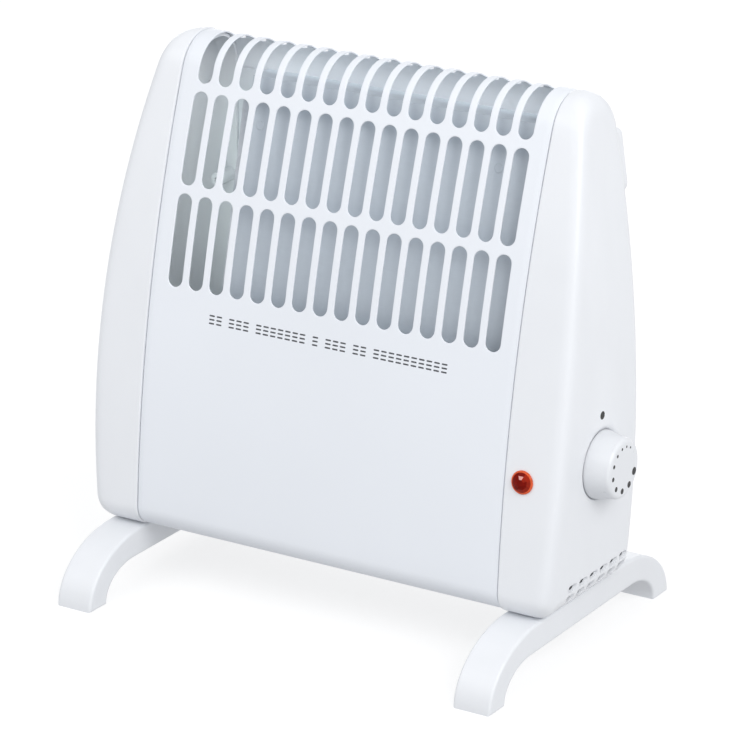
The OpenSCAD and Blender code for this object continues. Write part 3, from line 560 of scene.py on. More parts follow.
def back_panel_shape():
    """The slotted sheet under and behind the casing, whose top edge steps in below the front panel's."""
    path = Path()
    bottom = BASE_Z + LIP
    under = LIP + SHEET_T + JOGGLE
    low, high = JOGGLE_Z
    path.line((REAR_RETURN_Y, bottom), (LOW_REAR_C[0], bottom), (0, -1))
    path.arc(LOW_REAR_C, CORNER_R - LIP, 270, 360)
    v = path.length + REAR_SLOT_Z - LOW_REAR_C[1]
    path.line((REAR_Y - LIP, LOW_REAR_C[1]), (REAR_Y - LIP, low), (1, 0))
    slant = Vector((high - low, under - LIP)).normalized()
    path.line((REAR_Y - LIP, low), (REAR_Y - under, high), (slant[0], slant[1]))
    path.line((REAR_Y - under, high), (REAR_Y - under, REAR_TOP_Z), (1, 0))
    size = (REAR_SLOT_LEN, REAR_SLOT_W, REAR_SLOT_GAP)
    return slotted_sheet(path, v, REAR_ROWS, REAR_COUNT, size, REAR_CLOSED)


# ---- end caps

WALL = 2.0
WALL_START_X = SEAM_X + 2.5
TONGUE_IN = LIP + SHEET_T + JOGGLE
TONGUE_T = 1.6
TONGUE_X = SEAM_X - 8

# Steps across the side face, round the inner edge, and angles round the outer edge, closer where it is tight
FACE_N = 10
INNER_N = 8
EDGE_STEPS = (0, 1, 3, 6, *range(10, 85, 5), 84, 87, 89, 90)
EDGE_SQUARE = 2.2

# Stands for no limit, as the X or as the drop of a cap_ring
FAR = 999.0


def cap_ring(d, x, drop):
    """A ring of the cap, inset by d: at x, or drop below the side's bulge where that is nearer the middle."""
    drops = drop if isinstance(drop, list) else [drop] * len(STATIONS)
    return [(min(x, half_w(y, z) - k), y, z) for (y, z), k in zip(outline(d), drops)]


def edge_power(k):
    """How square the rounded edge is at station k: 2 is round, and the front edge is tighter than that."""
    rise = min(1.0, k / CORNER_N)
    fall = min(1.0, max(0.0, (CORNER_N + SIDE_N + CREST_N - k) / CREST_N))
    return 2.0 + EDGE_SQUARE * rise * fall


def edge_ring(a):
    """A ring of the cap's outer rounding, at angle a from the side's lower skin to its face."""
    power = [2 / edge_power(k) for k in range(len(STATIONS))]
    d = [EDGE_R * (1 - max(0.0, cos(rad(a))) ** p) for p in power]
    drop = [EDGE_R * (1 - max(0.0, sin(rad(a))) ** p) for p in power]
    return cap_ring(d, FAR, drop)


def cap_face(shape, ring, drop, flip):
    """The side face inside a ring: rows of points from its front half to its rear half, whose first and last
    rows have points at their ends only."""
    n = len(ring)
    rows = []
    for k in range(n // 2):
        a, b = Vector(ring[k]), Vector(ring[n - 1 - k])
        row = [a.lerp(b, j / FACE_N) for j in range(1, FACE_N)]
        row = [(half_w(p.y, p.z) - drop, p.y, p.z) for p in row]
        if k in (0, n // 2 - 1):
            row = [tuple(a)] * (FACE_N // 2 - 1) + [tuple(b)] * (FACE_N // 2)
        rows.append([tuple(a)] + row + [tuple(b)])
    for low, high in zip(rows, rows[1:]):
        for j in range(FACE_N):
            corners = [low[j], high[j], high[j + 1], low[j + 1]]
            shape.face(corners[::-1] if flip else corners)


def cap_shape():
    """The right cap as a hollow shell: rings from its inner side face round its tongue to its outer one."""
    inner_edge = quarter(EDGE_R - WALL, INNER_N)
    rings = [cap_ring(WALL + inset, FAR, WALL + drop) for drop, inset in inner_edge]
    for inset in (WALL, TONGUE_IN + TONGUE_T):
        rings.append(cap_ring(inset, WALL_START_X, EDGE_R + 0.05))
    for inset, x in [(TONGUE_IN + TONGUE_T, TONGUE_X), (TONGUE_IN, TONGUE_X), (TONGUE_IN, SEAM_X)]:
        rings.append(cap_ring(inset, x, -FAR))
    # The skin's edge at the seam is slightly rounded
    for inset, x in [(0.35, 0.0), (0.1, 0.1), (0.0, 0.35), (0.0, 1.2)]:
        rings.append(cap_ring(inset, SEAM_X + x, -FAR))
    rings.append(cap_ring(0, FAR, EDGE_R + 1.5))
    rings += [edge_ring(a) for a in EDGE_STEPS]
    rings.append(cap_ring(EDGE_R + 1.2, FAR, 0))
    shape = Shape()
    shape.grid(rings, closed=True)
    cap_face(shape, rings[-1], 0, False)
    cap_face(shape, rings[0], WALL, True)
    return shape


VENT_COUNT = 6
VENT_Y0 = -23.9
VENT_PITCH = 9.8
VENT_Z = (37.7, 43.1)
VENT_LEN = 7.6
VENT_R = 1.8
# How far a vent's outline grows, at distances outwards from the skin
VENT_FLARE = ((-7, -0.75), (-2.2, -0.7), (-0.3, 0.0), (-0.08, 0.12), (0.05, 0.32), (1.5, 1.4))


def surface_x(y, z):
    """X of the cap's skin near its lower edge, where the rounding begins."""
    d = z - BASE_Z
    drop = 0.0
    if d < EDGE_R:
        drop = EDGE_R * (1 - sqrt(max(0.0, 1 - (1 - d / EDGE_R) ** 2)))
    return half_w(y, z) - drop


def vent_cutters():
    """Round-ended cutters that flare where they leave the skin, which rounds each vent's rim."""
    out = []
    half = VENT_LEN / 2 - VENT_R
    for i in range(VENT_COUNT):
        for z in VENT_Z:
            y = VENT_Y0 + VENT_PITCH * i
            x = surface_x(y, z)
            rows = []
            for dx, grow in VENT_FLARE:
                r = VENT_R + grow
                loop = arc((y + half, z), r, -90, 90, 8) + arc((y - half, z), r, 90, 270, 8)
                rows.append([(x + dx, a, b) for a, b in loop])
            shape = Shape()
            shape.grid(rows, closed=True)
            shape.fan(rows[0], (x + VENT_FLARE[0][0], y, z), flip=True)
            shape.fan(rows[-1], (x + VENT_FLARE[-1][0], y, z))
            out.append(shape)
    return out


def prism(shape, low, high):
    """A closed shape between two matching loops."""
    shape.grid([low, high], closed=True)
    shape.lid(low, flip=True)
    shape.lid(high)


def turned_cutter(at, axes, profile, n):
    """A turned shape in n steps whose profile is closed on its axis at both ends."""
    shape = Shape()
    spun(shape, at, axes, [(0, profile[0][1])] + profile + [(0, profile[-1][1])], n)
    return shape


lens_axis = Vector((0, -cos(front_tilt(LENS_Z)), sin(front_tilt(LENS_Z))))
lens_at = Vector((LENS_X, front_y(LENS_Z), LENS_Z))
LENS_AXES = (Vector((1, 0, 0)), lens_axis.cross(Vector((1, 0, 0))), lens_axis)


# ---- feet

# Each foot's outline has quarter ellipses at both ends of a flat middle: shoulders above, an arch below
FOOT_W = 20.2
FOOT_HALF = 88.5
SOLE = 14.3
SHOULDER_L = 46.5
ARCH_L = 24.2
ARCH_H = 16.5
FOOT_ROUND = 1.3
ELLIPSE_N = 22
FLAT_N = 10

# Hollow pockets under each foot, as their ends in Y, with a wall beside them and a roof above
POCKETS = ((-58, -18), (-14, 13), (17, 58))
FOOT_WALL = 3
FOOT_ROOF = 3.5


def foot_chains():
    """The foot's upper and lower outlines, each from the rear sole to the front one, with equal counts."""
    inner = FOOT_HALF - SOLE
    upper, lower = [], []
    for i in range(ELLIPSE_N + 1):
        t = rad(90 * i / ELLIPSE_N)
        upper.append((FOOT_HALF - SHOULDER_L + SHOULDER_L * cos(t), BASE_Z * sin(t)))
        lower.append((inner - ARCH_L + ARCH_L * cos(t), ARCH_H * sin(t)))
    for i in range(1, FLAT_N):
        upper.append(((FOOT_HALF - SHOULDER_L) * (1 - 2 * i / FLAT_N), BASE_Z))
        lower.append(((inner - ARCH_L) * (1 - 2 * i / FLAT_N), ARCH_H))
    upper += [(-y, z) for y, z in upper[ELLIPSE_N::-1]]
    lower += [(-y, z) for y, z in lower[ELLIPSE_N::-1]]
    return upper, lower


def offset_loop(loop, d):
    """A closed outline moved inward by d, with mitred corners."""
    out = []
    n = len(loop)
    for i in range(n):
        a, b, c = Vector(loop[i - 1]), Vector(loop[i]), Vector(loop[(i + 1) % n])
        e0, e1 = (b - a).normalized(), (c - b).normalized()
        n0, n1 = Vector((-e0.y, e0.x)), Vector((-e1.y, e1.x))
        m = (n0 + n1).normalized()
        out.append(tuple(b + m * (d / max(0.3, m.dot(n0)))))
    return out


def foot_shape():
    """The right foot, solid, with its edges rounded."""
    upper, lower = foot_chains()
    loop = upper + lower[::-1]
    r = FOOT_ROUND
    x0, x1 = SEAM_X, SEAM_X + FOOT_W
    levels = [(x0 + drop, inset) for drop, inset in quarter(r, 4)]
    levels += [(x0 + r + 1, 0.0), (x1 - r - 1, 0.0)]
    levels += [(x1 - drop, inset) for drop, inset in quarter(r, 4)[::-1]]
    shape = Shape()
    rings = []
    for x, d in [(x0, r + 1.0)] + levels + [(x1, r + 1.0)]:
        ring = offset_loop(loop, d)
        rings.append([(x, y, max(0.0, z) if d < r else z) for y, z in ring])
    shape.grid(rings, closed=True)
    n = len(upper)
    for ring, flip in ((rings[0], True), (rings[-1], False)):
        for k in range(n - 1):
            quad = [ring[k], ring[k + 1], ring[2 * n - 2 - k], ring[2 * n - 1 - k]]
            shape.face(quad[::-1] if flip else quad)
    return shape


def block(low, high):
    """A box cutter."""
    x0, y0, z0 = low
    x1, y1, z1 = high
    shape = Shape()
    ring = [(x0, y0), (x1, y0), (x1, y1), (x0, y1)]
    rows = [[(x, y, z) for x, y in ring] for z in (z0, z1)]
    shape.grid(rows, closed=True)
    shape.face(rows[0][::-1])
    shape.face(rows[1])
    return shape


# ---- materials


def new_material(name):
    """A material with its node tree and its shader."""
    mat = bpy.data.materials.new(name)
    mat.use_nodes = True
    return mat, mat.node_tree, mat.node_tree.nodes["Principled BSDF"]


def put(node, **values):
    """Sets a node's inputs; an underscore stands for a space in their names."""
    for name, value in values.items():
        node.inputs[name.replace("_", " ")].default_value = value


def noise(tree, scale, detail=4.0, rough=0.5, stretch=(1, 1, 1)):
    """Noise over the row frame's own coordinates; scale is in features per metre."""
    coords = tree.nodes.new("ShaderNodeTexCoord")
    mapping = tree.nodes.new("ShaderNodeMapping")
    put(mapping, Scale=stretch)
    tex = tree.nodes.new("ShaderNodeTexNoise")
    put(tex, Scale=scale, Detail=detail, Roughness=rough)
    tree.links.new(coords.outputs["Object"], mapping.inputs["Vector"])
    tree.links.new(mapping.outputs["Vector"], tex.inputs["Vector"])
    return tex.outputs["Fac"]


def ramp(tree, source, stops):
    """A colour ramp; stops are (position, colour)."""
    node = tree.nodes.new("ShaderNodeValToRGB")
    elements = node.color_ramp.elements
    while len(elements) < len(stops):
        elements.new(0.5)
    for element, (position, colour) in zip(elements, stops):
        element.position = position
        element.color = (*colour, 1)
    tree.links.new(source, node.inputs["Fac"])
    return node.outputs["Color"]


def spread(tree, source, low, high, from_low=0.3, from_high=0.7):
    """A value that runs from low to high as the source does from from_low to from_high."""
    node = tree.nodes.new("ShaderNodeMapRange")
    put(node, From_Min=from_low, From_Max=from_high, To_Min=low, To_Max=high)
    tree.links.new(source, node.inputs["Value"])
    return node.outputs["Result"]


def bump(tree, shader, source, distance, strength=1.0, before=None):
    node = tree.nodes.new("ShaderNodeBump")
    put(node, Strength=strength, Distance=distance)
    tree.links.new(source, node.inputs["Height"])
    if before is not None:
        tree.links.new(before, node.inputs["Normal"])
    tree.links.new(node.outputs["Normal"], shader.inputs["Normal"])
    return node.outputs["Normal"]


def shade(colour, k):
    return tuple(min(1.0, c * k) for c in colour)


def mottle(tree, shader, source, colour, low, high):
    """A base colour that varies with the source; low and high pair a value of it with a brightness."""
    tint = ramp(tree, source, [(at, shade(colour, k)) for at, k in (low, high)])
    tree.links.new(tint, shader.inputs["Base Color"])
    return tint


def gloss(tree, shader, source, low, high):
    """A roughness that runs from low to high with the source."""
    tree.links.new(spread(tree, source, low, high), shader.inputs["Roughness"])


def moulded(name, colour, rough, grain=0.012):
    """Moulded plastic: a fine spark-eroded grain, faint flow marks and slightly uneven gloss."""
    mat, tree, shader = new_material(name)
    put(shader, IOR=1.5)
    flow = noise(tree, 22, 3, 0.55, (1.0, 1.6, 0.6))
    mottle(tree, shader, flow, colour, (0.25, 0.975), (0.75, 1.015))
    gloss(tree, shader, noise(tree, 60, 5, 0.6), rough - 0.05, rough + 0.07)
    first = bump(tree, shader, noise(tree, 3800, 2, 0.5), grain * MM)
    bump(tree, shader, noise(tree, 260, 2, 0.5), grain * MM * 0.8, 0.7, first)
    return mat


def powder_coat(name, colour, rough=0.5):
    """Powder-coated steel: orange peel a millimetre or two across under a soft gloss."""
    mat, tree, shader = new_material(name)
    put(shader, IOR=1.45)
    mottle(tree, shader, noise(tree, 9, 3, 0.5), colour, (0.3, 0.985), (0.7, 1.01))
    gloss(tree, shader, noise(tree, 45, 4), rough - 0.04, rough + 0.05)
    first = bump(tree, shader, noise(tree, 620, 2, 0.4), 0.008 * MM)
    bump(tree, shader, noise(tree, 2600, 2, 0.5), 0.003 * MM, 0.8, first)
    return mat


def sheet_metal(name, colour, rough, metal=1.0, contrast=0.1, stretch=(1, 1, 1)):
    """Galvanised or rolled sheet: crystals of slightly different brightness, with rolling lines."""
    mat, tree, shader = new_material(name)
    put(shader, Metallic=metal)
    coords = tree.nodes.new("ShaderNodeTexCoord")
    cells = tree.nodes.new("ShaderNodeTexVoronoi")
    put(cells, Scale=260)
    tree.links.new(coords.outputs["Object"], cells.inputs["Vector"])
    mottle(tree, shader, cells.outputs["Color"], colour, (0.0, 1 - contrast), (1.0, 1 + contrast * 0.6))
    lines = noise(tree, 900, 4, 0.6, stretch)
    gloss(tree, shader, lines, rough - 0.08, rough + 0.12)
    bump(tree, shader, lines, 0.006 * MM)
    return mat


def turned_metal(name, colour, rough):
    """Plated or turned metal with fine scratches."""
    mat, tree, shader = new_material(name)
    put(shader, Metallic=1.0)
    mottle(tree, shader, noise(tree, 300, 5), colour, (0.3, 0.88), (0.7, 1.06))
    fine = noise(tree, 5200, 3, 0.6, (1, 1, 0.2))
    gloss(tree, shader, fine, rough - 0.08, rough + 0.14)
    bump(tree, shader, fine, 0.003 * MM)
    return mat


def printed_ink(name, colour):
    """Pad-printed ink, slightly uneven."""
    mat, tree, shader = new_material(name)
    mottle(tree, shader, noise(tree, 1500, 3), colour, (0.3, 0.8), (0.8, 1.4))
    gloss(tree, shader, noise(tree, 900, 3), 0.42, 0.6)
    return mat


def clear_red(name, colour, rough, painted_emission, specular=0.3):
    """Dyed clear plastic, seen as the colour that comes back out of it, which also glows: a painted glow in
    its own tint that stands in for light passing through it.
    """
    mat, tree, shader = new_material(name)
    put(shader, IOR=1.49, Specular_IOR_Level=specular, Emission_Strength=painted_emission)
    tint = mottle(tree, shader, noise(tree, 500, 3), colour, (0.3, 0.8), (0.7, 1.15))
    # Painted glow: the tint is also emitted, as light passing through the plastic
    tree.links.new(tint, shader.inputs["Emission Color"])
    gloss(tree, shader, noise(tree, 900, 3), rough * 0.7, rough * 1.4)
    return mat


def ceramic(name, colour):
    """Fired ceramic: dull, and slightly mottled."""
    mat, tree, shader = new_material(name)
    mottle(tree, shader, noise(tree, 500, 6, 0.7), colour, (0.3, 0.93), (0.75, 1.0))
    gloss(tree, shader, noise(tree, 800, 4), 0.5, 0.75)
    bump(tree, shader, noise(tree, 2200, 4), 0.02 * MM)
    return mat


CAP_WHITE = (0.785, 0.80, 0.825)
PANEL_WHITE = (0.775, 0.80, 0.84)

# What each of the CAD model's material slots looks like
LOOKS = {
    "front_panel_paint": powder_coat("panel_paint", PANEL_WHITE),
    "back_panel_paint": powder_coat("back_paint", shade(PANEL_WHITE, 0.98), 0.36),
    "cap_white": moulded("cap_plastic", CAP_WHITE, 0.34),
    "foot_white": moulded("foot_plastic", shade(CAP_WHITE, 0.965), 0.38),
    "knob_white": moulded("knob_plastic", shade(CAP_WHITE, 0.955), 0.30, 0.007),
    "lens_red": clear_red("lens_centre", (0.17, 0.005, 0.002), 0.25, 0.06, 0.05),
    "zinc_screw": turned_metal("zinc_plate", (0.70, 0.71, 0.73), 0.27),
    "spindle_steel": turned_metal("spindle_steel", (0.62, 0.62, 0.64), 0.24),
    "brass": turned_metal("brass_turned", (0.80, 0.60, 0.26), 0.26),
    "galvanised": sheet_metal("galvanised", (0.60, 0.63, 0.67), 0.36),
    "shield_steel": sheet_metal("shield_sheet", (0.53, 0.58, 0.63), 0.5, 0.25, 0.015, (0.1, 1, 1)),
    "contact_bronze": turned_metal("spring_bronze", (0.72, 0.46, 0.28), 0.3),
    "bimetal": turned_metal("bimetal", (0.56, 0.54, 0.50), 0.32),
    "ceramic": ceramic("ceramic", (0.84, 0.82, 0.76)),
    "lamp_glass": clear_red("lamp_glass", (0.9, 0.5, 0.3), 0.1, 0.1, 0.5),
    "resistor": moulded("resistor_lacquer", (0.62, 0.48, 0.30), 0.4),
    "element_steel": turned_metal("element_sheath", (0.30, 0.28, 0.28), 0.42),
    "fin_aluminium": sheet_metal("fin_sheet", (0.78, 0.79, 0.80), 0.3),
    "cutout_black": moulded("phenolic", (0.03, 0.03, 0.032), 0.4),
    "terminal_ivory": moulded("terminal_plastic", (0.80, 0.77, 0.68), 0.45),
    "bush_white": moulded("bush_plastic", shade(CAP_WHITE, 0.96), 0.45),
    "wire_brown": moulded("wire_brown", (0.20, 0.075, 0.03), 0.4),
    "wire_blue": moulded("wire_blue", (0.03, 0.13, 0.46), 0.4),
    "wire_earth": moulded("wire_earth", (0.22, 0.50, 0.06), 0.4),
    "wire_dark": moulded("wire_dark", (0.06, 0.06, 0.07), 0.4),
}

# Looks of the prints, and of the lens outside its dark middle: a rim brightened with painted glow, facets
# painted lighter where light falls, and a painted highlight
mat_ink = printed_ink("print_ink", (0.06, 0.063, 0.07))
mat_dot = printed_ink("dot_ink", (0.012, 0.012, 0.013))
# The rim: red dye, made brighter by a painted glow for the light that gathers in its thin edge
mat_lens_rim_painted_glow = clear_red("lens_rim_painted_glow", (0.58, 0.082, 0.02), 0.25, 0.13)
# Painted light: facets made lighter where light falls, at the rim's lower and right side and in a streak at
# the upper right
mat_lens_painted_lit = clear_red("lens_painted_lit", (0.26, 0.014, 0.004), 0.2, 0.1, 0.12)
# A painted highlight: a pinkish facet near the top stands in for a softbox's reflection
mat_lens_painted_highlight = clear_red("lens_painted_highlight", (0.66, 0.28, 0.25), 0.2, 0.1, 0.4)

for part in frame["record"]["subparts"]:
    node = frame["nodes"][part["node"]]
    node.data.materials.clear()
    node.data.materials.append(LOOKS[part["material_slot"]])
    node.data.shade_smooth()
    node.data.set_sharp_from_angle(angle=rad(30))
frame["nodes"]["shield_rivets"].data.materials[0] = LOOKS["shield_steel"]

# ---- pieces

# Front panel, with a line of short printed dashes below the slots
panel, panel_path, panel_front_start = front_panel_shape()
add_piece("front_panel_sheet", panel.mesh(), "heater", "front_panel_paint", ["front_panel"], SHARP_WIDE)

# Back panel, its upper corners cut away beside the caps' tongues
low = (TONGUE_X - 0.5, REAR_Y - 12, JOGGLE_Z[0] + 0.5)
corner = block(low, (SEAM_X + 1, REAR_Y + 1, REAR_TOP_Z + 8))
mesh = cut_mesh(back_panel_shape().mesh(), [corner, corner.mirrored()])
add_piece("back_panel_sheet", mesh, "heater", "back_panel_paint", ["back_panel"], SHARP_WIDE)


def dash(shape, u0, u1, v, height):
    """A printed dash with round ends on the panel's front."""
    r = height / 2
    loops = []
    for proud in (-INK_DEEP, INK_PROUD):
        loop = []
        for u, q in arc((u1 - r, v), r, -90, 90, 8) + arc((u0 + r, v), r, 90, 270, 8):
            (y, z), n = panel_path.at(q)
            loop.append((u, y + n[0] * proud, z + n[1] * proud))
        loops.append(loop)
    prism(shape, *loops)


# The print: groups of dashes in three rows, a group for each entry of WORDS
PRINT_Z = 144.7
PRINT_X = -67.8
WORDS = (2, 3, 7, 1, 3, 2, 10)
WORD_GAP = 3.1
DASH_LEN = 3.1
DASH_PITCH = 4.2
DASH_H = 0.78
DASH_RISES = (-1.9, 0, 1.9)
print_angle = asin((PRINT_Z - FRONT_C[1]) / BULGE_R) - rad(FRONT_A0)
print_v = panel_front_start + print_angle * (BULGE_R - LIP)
dashes = Shape()
u = PRINT_X
for count in WORDS:
    for _ in range(count):
        for rise in DASH_RISES:
            dash(dashes, u, u + DASH_LEN, print_v + rise, DASH_H)
        u += DASH_PITCH
    u += WORD_GAP
add_piece("printed_dashes", dashes.mesh(), "heater", "front_panel_paint", looks=[mat_ink])

# End caps, both with vents; the right one has the lens's hole and the knob's recess with its rounded rim
LENS_HOLE_R = 4.6
recess_r = KNOB_R + 0.3
knob_at = Vector((0, KNOB_Y, KNOB_Z))
face_x = half_w(KNOB_Y, KNOB_Z)
recess_rim = [(0, -6), (0, -1.1), (0.2, -0.75), (0.7, -0.35), (1.4, -0.1), (3.4, 0.7)]
recess_cut = turned_cutter(knob_at, X_AXES, [(recess_r + r, face_x + h) for r, h in recess_rim], 96)
lens_cut = turned_cutter(lens_at, LENS_AXES, [(LENS_HOLE_R, -12), (LENS_HOLE_R, 2)], 48)
add_sides("_cap_shell", cap_shape(), vent_cutters(), "cap_white", "_end_cap", [recess_cut, lens_cut])

# The recess's cup and its floor, with the hole for the spindle
SPINDLE_HOLE_R = 6.2
CUP_T = 2
CUP_ROUND = 0.3
cup = Shape()
floor_x = KNOB_X0 - 0.7
spun(cup, knob_at, X_AXES, [
    (recess_r, face_x - 0.9),
    (recess_r, floor_x + CUP_ROUND),
    (recess_r - CUP_ROUND, floor_x),
    (SPINDLE_HOLE_R + CUP_ROUND, floor_x),
    (SPINDLE_HOLE_R, floor_x - CUP_ROUND),
    (SPINDLE_HOLE_R, floor_x - CUP_T),
    (recess_r + CUP_T, floor_x - CUP_T),
    (recess_r + CUP_T, face_x - 2.6),
    (recess_r, face_x - 0.9),
], 96)
add_piece("knob_recess", cup.mesh(), "heater", "cap_white")

# The printed mark above the knob
MARK_C = (-4.07, 125.25)
MARK_R = 2.05
mark = Shape()
prism(mark, *([(half_w(y, z) + proud, y, z) for y, z in arc(MARK_C, MARK_R, 0, 360, 32, 0, 1)]
              for proud in (-INK_DEEP, INK_PROUD)))
add_piece("knob_mark", mark.mesh(), "heater", "cap_white", looks=[mat_dot])

# Bosses inside the caps for their rear screws, just seen through the slots at the left
BOSS_X = SEAM_X - 4.2
BOSS_Z = (66, 196)
BOSS_Y = (REAR_Y - 16, REAR_Y - 3)
BOSS_R = 3.4
BOSS_BORE_R = 1.4
bosses = Shape()
boss_profile = [(BOSS_BORE_R, BOSS_Y[0]), (BOSS_R, BOSS_Y[0]), (BOSS_R, BOSS_Y[1]), (BOSS_BORE_R, BOSS_Y[1])]
for z in BOSS_Z:
    spun(bosses, Vector((BOSS_X, 0, z)), Y_AXES, boss_profile + boss_profile[:1], 24)
for side in ("right", "left"):
    add_piece(side + "_cap_bosses", bosses.sided(side).mesh(), "heater", "cap_white")

# Feet
inner_x, outer_x = SEAM_X + FOOT_WALL, SEAM_X + FOOT_W - FOOT_WALL
pockets = [block((inner_x, y0, -1), (outer_x, y1, BASE_Z - FOOT_ROOF)) for y0, y1 in POCKETS]
add_sides("_foot_moulding", foot_shape(), pockets, "foot_white", "_foot")

# Wall spacers: softly rounded blocks with a keyhole and a sunk screw hole
spacer_low, spacer_high = (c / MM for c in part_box("right_wall_spacer"))
SP_X0, SP_X1 = spacer_low.x - SHIFT, spacer_high.x - SHIFT
SP_Y1, SP_Z0, SP_Z1 = spacer_high.y, spacer_low.z, spacer_high.z
KEY_X = SP_X0 + 8
KEY_Z = SP_Z0 + 10
KEY_R = 4.5
KEY_WALL = 3.5
KEY_SHANK = 4.6
KEY_RISE = 11.5
SPACER_SCREW_X = KEY_X + 4.5
SPACER_TAPER = 3.4
SPACER_ROUND = 1.2
# Radii of the outline's corners: the two inner ones, the outer lower and the outer upper one
SPACER_INNER_R = 2
SPACER_LOW_R = 5.4
SPACER_TOP_R = 3


def spacer_loop():
    """Outline across X and Z, counterclockwise seen from the front; its outer side leans in by the taper."""
    inner, low, top = SPACER_INNER_R, SPACER_LOW_R, SPACER_TOP_R
    top_x = SP_X1 - SPACER_TAPER
    slope = degrees(atan2(SP_Z1 - SP_Z0 - 9, -SPACER_TAPER)) - 90
    loop = arc((SP_X0 + inner, SP_Z0 + inner), inner, 180, 270, 6)
    loop += arc((SP_X1 - low, SP_Z0 + low), low, 270, 360 + slope, 8)
    loop += arc((top_x - top, SP_Z1 - top), top, slope, 90, 6)
    loop += arc((SP_X0 + inner, SP_Z1 - inner), inner, 90, 180, 6)
    return loop


def spacer_shape():
    """The right spacer, solid, from the casing's rear face to its own rounded rear face."""
    loop = spacer_loop()
    levels = [(REAR_Y, 0.0)]
    levels += [(SP_Y1 - drop, inset) for drop, inset in quarter(SPACER_ROUND, 6)[::-1]]
    rings = [[(x, y, z) for x, z in offset_loop(loop, d)] for y, d in levels]
    shape = Shape()
    shape.grid(rings, closed=True)
    shape.lid(rings[0], flip=True)
    shape.lid(rings[-1])
    return shape


def slot_cutter(loop, y0, y1):
    """A cutter with an outline across X and Z, from y0 to y1."""
    shape = Shape()
    prism(shape, *([(x, y, z) for x, z in loop] for y in (y0, y1)))
    return shape


# A keyhole's entry, its shank's slot, the room for a screw's head behind that, and the spacer's screw hole
key_at = Vector((KEY_X, 0, KEY_Z))
screw_at = Vector((SPACER_SCREW_X, 0, KEY_Z + 16))
entry = [(KEY_R, REAR_Y + 3), (KEY_R, SP_Y1 - 0.5), (KEY_R + 0.5, SP_Y1 + 0.1)]
shank = arc((KEY_X, KEY_Z), KEY_SHANK / 2, 180, 360, 12)
shank += arc((KEY_X, KEY_Z + KEY_RISE - KEY_SHANK / 2), KEY_SHANK / 2, 0, 180, 12)
key_x0, key_x1 = KEY_X - KEY_R, KEY_X + KEY_R
head_room = [(key_x0, KEY_Z), (key_x1, KEY_Z), (key_x1, KEY_Z + 9), (key_x0, KEY_Z + 9)]
screw_hole = [(1.9, REAR_Y - 1), (1.9, REAR_Y + 4.4), (3.6, REAR_Y + 4.4)]
screw_hole += [(3.6, SP_Y1 - 0.4), (3.9, SP_Y1 + 0.1)]
key_cuts = [
    turned_cutter(key_at, Y_AXES, entry, 40),
    slot_cutter(shank, SP_Y1 - KEY_WALL - 0.1, SP_Y1 + 0.2),
    slot_cutter(head_room, REAR_Y + 3.1, SP_Y1 - KEY_WALL),
    turned_cutter(screw_at, Y_AXES, screw_hole, 32),
]
add_sides("_spacer_moulding", spacer_shape(), key_cuts, "cap_white", "_wall_spacer")

# Knob: a turned body, hollow from behind, whose side tapers to a rounded face
KNOB_WALL = 2.4
KNOB_HOLLOW = 3.0
KNOB_FILLET = 2.2
KNOB_SIDES = 128
knob = Shape()
fillet_r = KNOB_FACE_R - KNOB_FILLET
fillet = arc((fillet_r, KNOB_X1 - KNOB_FILLET), KNOB_FILLET, 10, 90, 10)
profile = [(0, KNOB_HOLLOW), (KNOB_R - KNOB_WALL, KNOB_HOLLOW), (KNOB_R - KNOB_WALL, 0.2), (KNOB_R - 2.2, 0),
           (KNOB_R - 0.5, 0), (KNOB_R - 0.15, 0.15), (KNOB_R, 0.5), (KNOB_R - 0.12, 1.4)]
profile = [(r, KNOB_X0 + h) for r, h in profile]
profile += [(fillet[0][0] + 0.12, KNOB_X1 - KNOB_FILLET - 0.6)] + fillet
profile += [(fillet_r - 1.0, KNOB_X1), (6, KNOB_X1), (0, KNOB_X1)]
spun(knob, knob_at, X_AXES, profile, KNOB_SIDES)
add_piece("knob_moulding", knob.mesh(), "knob", "knob_white", ["thermostat_knob"], SHARP_WIDE)

# Ten printed dots that grow round its face, as (angle in degrees from +Y towards +Z, diameter)
DOT_CIRCLE_R = 10.85
DOTS = ((-23, 3.9), (-61, 3.3), (-98, 2.9), (-134, 2.6), (-170, 2.3), (-203, 2.0), (-232, 1.7), (-258, 1.45),
        (-281, 1.25), (-303, 1.1))
dots = Shape()
for angle, size in DOTS:
    centre = (KNOB_Y + DOT_CIRCLE_R * cos(rad(angle)), KNOB_Z + DOT_CIRCLE_R * sin(rad(angle)))
    prism(dots, *([(x, y, z) for y, z in arc(centre, size / 2, 0, 360, 28, 0, 1)]
                  for x in (KNOB_X1 - INK_DEEP, KNOB_X1 + INK_PROUD)))
add_piece("knob_dots", dots.mesh(), "knob", "knob_white", looks=[mat_dot])

# Indicator lens: a turned rim, brightened with painted glow, and a hollow stem, round a cut middle whose
# facets carry painted light and one painted highlight.
# FACET_RINGS has the rings between its facets from the rim inwards, as (radius, height).
LENS_RIM_R = LENS_R - 0.85
LENS_RIM_H = 1.15
LENS_STEM_R = 4.5
LENS_STEM_END = -11
LENS_BORE_R = 3
LENS_SIDES = 64
FACETS = 8
FACET_TURN = 22.5
PER_FACET = LENS_SIDES // FACETS
FACET_RINGS = ((LENS_RIM_R, LENS_RIM_H), (3.5, 2.0), (1.7, 2.55), (0, 2.75))
lens = Shape()
spun(lens, lens_at, LENS_AXES, [
    (0, 0.2), (LENS_BORE_R, 0.2), (LENS_BORE_R, LENS_STEM_END), (LENS_STEM_R, LENS_STEM_END),
    (LENS_STEM_R, 0.02), (LENS_R - 0.15, 0.02), (LENS_R, 0.3), (LENS_R, 0.6),
    (LENS_R - 0.2, 0.9), (LENS_R - 0.5, 1.1), (LENS_RIM_R, LENS_RIM_H),
], LENS_SIDES)


